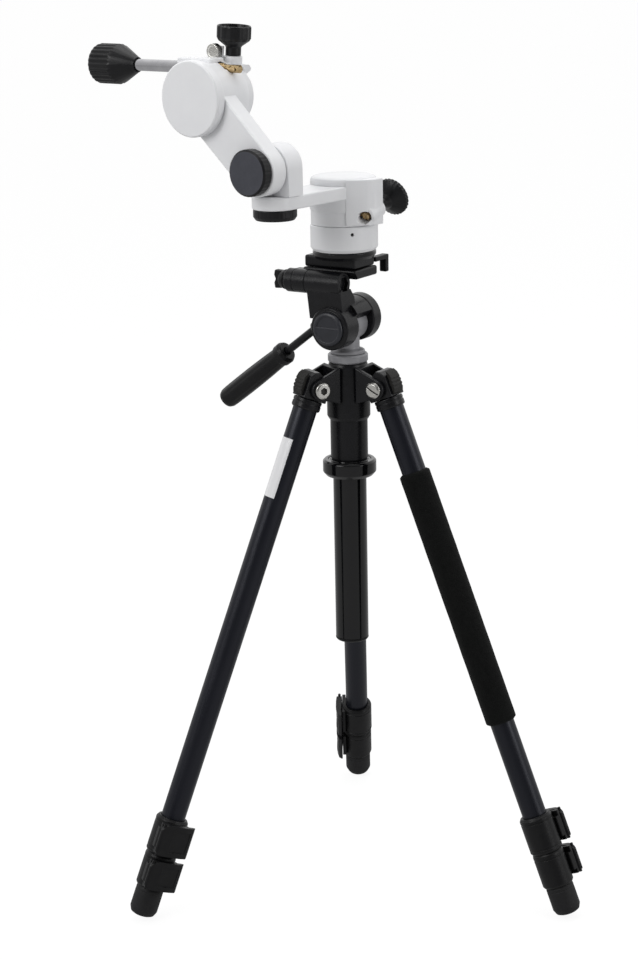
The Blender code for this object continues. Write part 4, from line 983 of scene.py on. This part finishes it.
# lower arm: ring over the wheel, slab out to the elbow and the worm's housing
lower = lathe("lower_arm_look", [
    (33.2, DISC_Z, 0.4), (34.0, DISC_Z - 0.9, 0.5), (34.0, RING_Z, 0.4),
    (33.2, RING_Z, 0.2), (33.2, 704.7, 0.4), (30.6, 704.7, 0.1), (30.6, 728.0, 0.1),
    (9.4, 728.0, 0.1), (9.4, DISC_Z, 0.1)], mount, seg=128, closed=True)
SLAB = ([(24.0, -23.6), (29.5, -21.9), (36.0, -21.5), (60.0, -21.6)]
        + arc(ELBOW_X, 0, 22.3, -90, 90, 40)
        + [(60.0, 21.6), (36.0, 21.5), (29.5, 21.9), (24.0, 23.6)])
BOSS = [(26.0, 22.5), (12.0, 39.0, 9.0), (4.0, 43.4, 6.0), (-9.8, 43.4, 3.0),
        (-9.8, 22.5)]
combine(
    lower,
    ("+", prism("slab", SLAB, SLAB_LOW, SLAB_TOP, mount, bevel=1.8, seg=4)),
    ("+", lathe("housing", [(0, 25.0), (7.8, 25.0, 0.4), (9.2, 23.6, 0.8),
                            (9.2, 4.2, 0.8), (8.0, 3.0, 0.6), (0, 3.0)],
                az_worm, 72)),
    ("+", prism("boss", fillet(BOSS, 0.0, 8, True), 706.0, 751.2, mount, bevel=0.8)),
    ("-", rod("worm_bore", 6.4, -4.0, 60.0, az_worm, 48)),
    ("-", rod("end_bore", 4.3, -20.0, 10.0, az_worm, 40)),
    ("-", rod("room", 30.9, 700.0, 728.2, mount @ turn(1.1, "Z"), 96)),
    ("-", rod("cap_room", 33.6, DISC_Z - 0.1, 760.0, mount @ turn(0.7, "Z"), 96)),
    ("-", block("puck_room", (-60.0, -61.0, 690.0), (62.0, 63.0, 704.8),
                mount @ turn(2.0, "Z"))),
    ("-", rod("stud", STUD_BORE, 720.0, 742.0, elbow, 40)))
part(lower, "white_paint")
part(lathe("azimuth_cap_look", [
    (0, CAP_TOP), (29.0, CAP_TOP, 1.0), (32.2, CAP_TOP - 1.4, 1.6),
    (33.2, CAP_TOP - 4.2, 1.2), (33.2, CAP_LOW, 0.3), (0, CAP_LOW)],
    mount, seg=128), "white_paint")


def worm(name, core, outer, pitch, low, high, place, shaft_low, shaft_high):
    """Threaded shaft. The plain shaft below and above lists (height, radius)."""
    seg, per_turn = 40, 16
    steps = int(round((high - low) / pitch * per_turn))
    rings = [[(radius, z)] * seg for z, radius in shaft_low]
    for i in range(steps + 1):
        z = low + (high - low) * i / steps
        run_in = min(1.0, min(i, steps - i) / per_turn)
        ring = []
        for j in range(seg):
            phase = (z / pitch - j / seg) % 1.0
            crest = min(1.0, max(0.0, 1.35 - abs(phase - 0.5) * 4.4))
            ring.append((core + (outer - core) * crest * run_in, z))
        rings.append(ring)
    rings += [[(radius, z)] * seg for z, radius in shaft_high]
    mesh = bmesh.new()
    loops = [[mesh.verts.new((radius * math.cos(math.tau * j / seg) * MM,
                              radius * math.sin(math.tau * j / seg) * MM, z * MM))
              for j, (radius, z) in enumerate(ring)] for ring in rings]
    for below, above in zip(loops, loops[1:]):
        for j in range(seg):
            k = (j + 1) % seg
            mesh.faces.new((below[j], below[k], above[k], above[j]))
    mesh.faces.new(list(reversed(loops[0])))
    mesh.faces.new(loops[-1])
    return object_from(name, mesh, place)


screw_shaft = worm("azimuth_worm_look", core=3.4, outer=4.9, pitch=2.85, low=5.0,
                   high=21.0, place=az_worm,
                   shaft_low=[(1.5, 3.3), (2.0, 3.9), (4.8, 3.9), (4.9, 3.4)],
                   shaft_high=[(21.1, 3.0), (38.0, 3.0)])
combine(screw_shaft, ("-", block("slot", (-0.5, -6, 0), (0.5, 6, 2.4),
                                 az_worm @ turn(35, "Z"))))
part(screw_shaft, "brass")
part(lathe("azimuth_knob_look", [
    (0, 50.7), (12.0, 50.7, 0.6), (13.0, 51.5, 0.6), (15.5, 51.5, 0.8),
    (18.4, 50.6, 0.9), (19.2, 49.6, 0.5), (19.2, 48.8, 0), (19.2, 47.9, 0),
    (19.2, 47.0, 0), (19.2, 46.2, 0.4), (17.0, 44.6, 0.8), (8.0, 37.4, 2.0),
    (5.4, 32.5, 1.0), (5.4, 26.0, 0.3), (3.4, 26.0, 0.1), (3.4, 38.4, 0), (0, 38.4)],
    az_worm, seg=224, wave=ribs(28, 0.9, 45.6, 50.9, sharp=1.6, blend=0.8)),
    "knob_black")

# ------------------------------------------------------------------ elbow
# block with rounded plan corners, kept inside a round-topped outline
PLAN = fillet([(9.4, 26.0), (-13.4, 26.0, 3.0), (-13.4, -26.0, 3.0), (9.4, -26.0)],
              0.0, 6, True)
ROUND_TOP = ([(-26.0, 740.0), (26.0, 740.0), (25.0, ELBOW_Z)]
             + arc(0, ELBOW_Z, 25.0, 4, 176, 48) + [(-25.0, ELBOW_Z)])
elbow_block = prism("elbow_block_look", PLAN, 745.1, 796.0, elbow)
keep = prism("keep", ROUND_TOP, -40.0, 30.0, elbow @ EDGEWISE)
add_boolean(elbow_block, "INTERSECT", keep)
apply(elbow_block)
remove(keep)
add_bevel(elbow_block, 1.0, 3, angle=50)
apply(elbow_block)
combine(elbow_block, ("-", rod("stud", STUD_BORE, 0.0, 20.0,
                               elbow @ shift(0, 0, ELBOW_Z) @ turn(90, "Y"), 40)))
part(elbow_block, "white_paint")
part(lathe("elbow_knob_lower_look", [
    (0, 741.6), (STUD_R, 741.6), (STUD_R, 731.2, 0.2), (20.8, 731.2, 0.3),
    (21.3, 730.6, 0.3), (21.3, 729.0, 0), (21.3, 727.0, 0), (21.3, 725.4, 0),
    (21.3, 724.2, 0.7), (19.0, 720.9, 0.9), (14.0, 720.9, 0.2), (13.5, 721.5, 0.2),
    (0, 721.5)], elbow, seg=240,
    wave=ribs(30, 0.2, 723.4, 730.6, sharp=2.0, blend=1.0)), "knob_black")

# ------------------------------------------------------------------ upper arm
# along the mount's X
ARM_BACK, ARM_FRONT = 116.7, 136.2
COVER_BACK, COVER_FRONT = ARM_FRONT + GAP, 146.9
slant = math.degrees(math.atan2(ALT_Z - ELBOW_Z, ALT_Y))
STRIP = (arc(0, ELBOW_Z, 24.0, slant + 90, slant + 270, 40)
         + arc(ALT_Y, ALT_Z, 25.5, slant - 90, slant + 90, 24))
arm = prism("upper_arm_look", STRIP, ARM_BACK, ARM_FRONT, arm_plane, bevel=1.8, seg=4)
combine(
    arm,
    ("+", lathe("gears", [(0, ARM_FRONT), (33.5, ARM_FRONT, 1.0), (33.5, 104.0, 0.6),
                          (32.6, 96.2, 1.4), (0, 96.2)], altitude, seg=128)),
    ("+", block("worm_block", (103.8, -106.0, 846.0), (124.0, -62.0, 873.0), mount,
                bevel=2.0, seg=4)),
    ("-", rod("room", 29.8, 100.0, 140.0, altitude @ turn(0.9, "Z"), 96)),
    ("-", rod("hub", 8.5, 90.0, 105.0, altitude @ turn(1.3, "Z"), 56)),
    ("-", lathe("bore", [(0, 120.0), (4.4, 120.0), (4.4, 103.0), (6.3, 103.0),
                         (6.3, 50.0), (4.4, 50.0), (4.4, 20.0), (0, 20.0)],
                alt_worm, 48, edge=0)),
    ("-", rod("front_bore", STUD_BORE, 100.0, 150.0, front_knob, 40)))
part(arm, "white_paint")
part(lathe("elbow_knob_front_look", [
    (0, 147.9), (20.4, 147.9, 0.4), (22.5, 146.4, 0.9), (22.5, 145.0, 0),
    (22.5, 143.0, 0), (22.5, 141.0, 0), (22.5, 139.4, 0), (22.5, 138.0, 0.5),
    (21.8, 136.5, 0.4), (STUD_R, 136.5, 0.1), (STUD_R, 108.5), (0, 108.5)],
    front_knob, seg=256, wave=ribs(32, 0.25, 137.2, 146.8, sharp=2.0, blend=1.0)),
    "knob_black",
    patch=("slate_face", lambda c: c.z > 147.75 and math.hypot(c.x, c.y) < 20.6))

# ------------------------------------------------------------------ altitude
part(lathe("altitude_cover_look", [
    (0, COVER_FRONT), (35.2, COVER_FRONT, 0.9), (36.6, COVER_FRONT - 1.5, 1.1),
    (36.6, COVER_BACK + 0.8, 0.5), (36.0, COVER_BACK, 0.3), (0, COVER_BACK)],
    altitude, seg=144), "white_paint")
wheel = toothed("altitude_wheel_look", 21.6, 104.5, 116.5, altitude)
combine(wheel, ("+", rod("hub", 8.0, 88.3, 105.5, altitude, 48)))
part(wheel, "brass")
part(worm("altitude_worm_look", core=3.6, outer=5.0, pitch=2.26, low=55.0, high=97.0,
          place=alt_worm,
          shaft_low=[(36.0, 3.4), (36.5, 3.9), (54.9, 3.9), (54.95, 3.6)],
          shaft_high=[(97.05, 3.9), (106.5, 3.9)]), "brass")
part(lathe("altitude_rod_look", [
    (0, 187.5), (5.9, 187.5), (5.9, 107.6, 0.4), (5.3, 107.0, 0.2), (0, 107.0)],
    alt_worm, seg=72), "chrome")
part(lathe("altitude_knob_look", [
    (0, 221.4), (13.0, 221.4, 0.5), (14.2, 222.4, 0.5), (17.0, 222.4, 1.4),
    (19.4, 220.8, 1.4), (20.0, 218.6, 0.6), (20.0, 216.0, 0), (20.0, 212.0, 0),
    (20.0, 208.0, 0), (20.0, 204.0, 0), (20.0, 200.0, 0), (20.0, 197.0, 0),
    (20.0, 194.5, 0.8), (18.6, 191.4, 1.0), (8.0, 171.6, 1.0), (7.4, 170.0, 0.3),
    (6.3, 170.0, 0.1), (6.3, 187.9), (0, 187.9)],
    alt_worm, seg=240, wave=ribs(24, 1.15, 193.2, 221.6, sharp=1.5, blend=1.6)),
    "knob_black")

# ------------------------------------------------------------------ saddle
saddle = lathe("saddle_look", [
    (0, 95.9), (27.6, 95.9, 0.4), (28.5, 94.9, 0.6), (28.5, 85.2, 0.7),
    (27.4, 84.0, 0.5), (0, 84.0)], saddle_face, seg=112)
CHANNEL = [(86.0, -27.5, 0), (86.0, 30.0, 1.0), (79.0, 30.0, 1.4), (75.6, 26.6, 0.7),
           (76.6, 24.2, 0.4), (83.0, 21.2, 0.3), (83.0, -21.2, 0.3),
           (76.6, -24.2, 0.4), (75.6, -26.6, 0.7), (79.0, -30.0, 1.4),
           (86.0, -30.0, 0.6)]
combine(
    saddle,
    ("+", prism("jaws", fillet(CHANNEL, 0.3, 4, True), -16.0, 16.0,
                saddle_up @ turn(90, "X"), bevel=0.7)),
    ("+", lathe("boss", [(0, 37.4), (8.2, 37.4, 0.3), (9.0, 36.6, 0.5),
                         (9.0, 30.0, 2.0), (10.4, 20.0), (0, 20.0)], clamp, 64)),
    ("-", rod("clamp_bore", 4.3, 24.0, 50.0, clamp, 40)),
    ("+", block("lug", (92.8, -17.5, 17.0), (95.5, -4.5, 46.5), saddle_up, bevel=0.7)),
    ("-", rod("screw_bore", 2.9, 80.0, 100.0, screw, 32)),
    ("-", rod("seat", 8.4, 88.0, 97.0, saddle_face, 56)))
part(saddle, "white_paint")
part(lathe("clamp_knob_look", [
    (0, 57.6), (12.4, 57.6, 1.0), (14.2, 60.0, 1.0), (14.8, 66.2, 0.4),
    (16.2, 66.2, 0.4), (17.0, 65.0, 0.6), (17.0, 63.0, 0), (17.0, 60.0, 0),
    (17.0, 57.0, 0), (17.0, 54.5, 0.6), (15.6, 52.0, 0.8), (8.2, 46.6, 0.8),
    (7.6, 45.2, 0.5), (7.6, 37.8, 0.4), (4.0, 37.8, 0.1), (4.0, 25.0), (0, 25.0)],
    clamp, seg=192, wave=ribs(12, 0.8, 51.0, 66.4, blend=1.4)), "knob_black")
part(lathe("safety_screw_look", [
    (0, 103.2), (5.0, 103.2, 0.2), (5.4, 103.6, 0.2), (6.9, 103.6, 0.3),
    (7.5, 103.0, 0.2), (7.5, 101.0, 0), (7.5, 99.0, 0), (7.5, 97.0, 0.2),
    (6.9, 96.3, 0.2), (2.6, 96.3, 0.1), (2.6, 93.2), (0, 93.2)], screw,
    seg=264, wave=ribs(44, 0.42, 96.4, 103.5, blend=0.4)), "steel")


# ------------------------------------------------------------------ studio
def light(name, place, target, size, power):
    """Rectangular area light aimed at a point; metres and watts."""
    lamp = bpy.data.lights.new(name, "AREA")
    lamp.shape = "RECTANGLE"
    lamp.size, lamp.size_y = size
    lamp.energy = power
    holder = bpy.data.objects.new(name, lamp)
    bpy.context.scene.collection.objects.link(holder)
    holder.location = place
    holder.rotation_mode = "QUATERNION"
    aim = Vector(target) - Vector(place)
    holder.rotation_quaternion = aim.to_track_quat("-Z", "Y")


light("key", place=(-1.7, -1.5, 1.9), target=(0, 0, 0.55), size=(1.3, 1.5), power=27.0)
light("fill", place=(2.1, -1.2, 1.2), target=(0, 0, 0.5), size=(1.0, 1.6), power=13.0)
light("top", place=(0.1, 0.2, 2.6), target=(0, 0, 0.5), size=(1.6, 1.6), power=13.0)


def floor_material():
    """White floor that glows more to the camera than to the pieces."""
    made = bpy.data.materials.new("studio_floor")
    tree = empty_tree(made)
    shade = ramp(tree, add(tree, "TexNoise", {"Scale": 3.0}), from_min=0.0,
                 from_max=1.0, to_min=0.985, to_max=1.0)
    grey = add(tree, "CombineColor", {0: shade, 1: shade, 2: shade})
    seen = add(tree, "LightPath").outputs["Is Camera Ray"]
    glow = ramp(tree, seen, from_min=0.0, from_max=1.0, to_min=0.42, to_max=1.05)
    matt = add(tree, "BsdfDiffuse", {"Color": grey})
    lit = add(tree, "Emission", {"Color": (1, 1, 1, 1), "Strength": glow})
    both = add(tree, "MixShader", {0: 0.86, 1: matt, 2: lit})
    add(tree, "OutputMaterial", {0: both})
    return made


mesh = bmesh.new()
bmesh.ops.create_grid(mesh, x_segments=4, y_segments=4, size=60.0)
floor = object_from("floor", mesh, Matrix.Translation((0, 20.0, -0.0006)))
floor.data.materials.append(floor_material())


def studio_world():
    """White to the camera; as light, darker behind the camera than behind the object."""
    world = bpy.data.worlds.new("studio")
    bpy.context.scene.world = world
    tree = empty_tree(world)
    white = (1, 1, 1, 1)
    seen = add(tree, "Background", {0: white, 1: 1.0})
    incoming = add(tree, "NewGeometry").outputs["Incoming"]
    depth = add(tree, "SeparateXYZ", {0: incoming}).outputs[1]
    fade = ramp(tree, depth, from_min=-0.6, from_max=0.9, to_min=1.0, to_max=0.12)
    soft = add(tree, "Background", {0: white, 1: fade})
    camera_ray = add(tree, "LightPath").outputs["Is Camera Ray"]
    both = add(tree, "MixShader", {0: camera_ray, 1: soft, 2: seen})
    add(tree, "OutputWorld", {0: both})


studio_world()

# ------------------------------------------------------------------ camera
# metres from the column's foot, then turned about it
CAMERA_TURN = Matrix.Rotation(math.radians(1.9), 3, "Z")
CAMERA_PLACE = Vector((-0.03198703, -2.14466951, 1.01650745))
CAMERA_AHEAD = Vector((0.0, 0.96545889, -0.26055543))
CAMERA_RIGHT = Vector((0.9998038, -0.00516115, -0.01912405))
CAMERA_UP = Vector((0.01980825, 0.2605043, 0.96526947))
lens = bpy.data.cameras.new("camera")
lens.sensor_fit = "AUTO"
lens.sensor_width = 36.0
lens.lens = 80.42475
lens.clip_start, lens.clip_end = 0.05, 200.0
camera = bpy.data.objects.new("camera", lens)
bpy.context.scene.collection.objects.link(camera)
camera.matrix_world = axes(CAMERA_TURN @ CAMERA_PLACE + column.translation,
                           (CAMERA_TURN @ CAMERA_RIGHT).normalized(),
                           (CAMERA_TURN @ CAMERA_UP).normalized(),
                           -(CAMERA_TURN @ CAMERA_AHEAD).normalized())
bpy.context.scene.camera = camera
bpy.context.scene.view_settings.view_transform = "Standard"
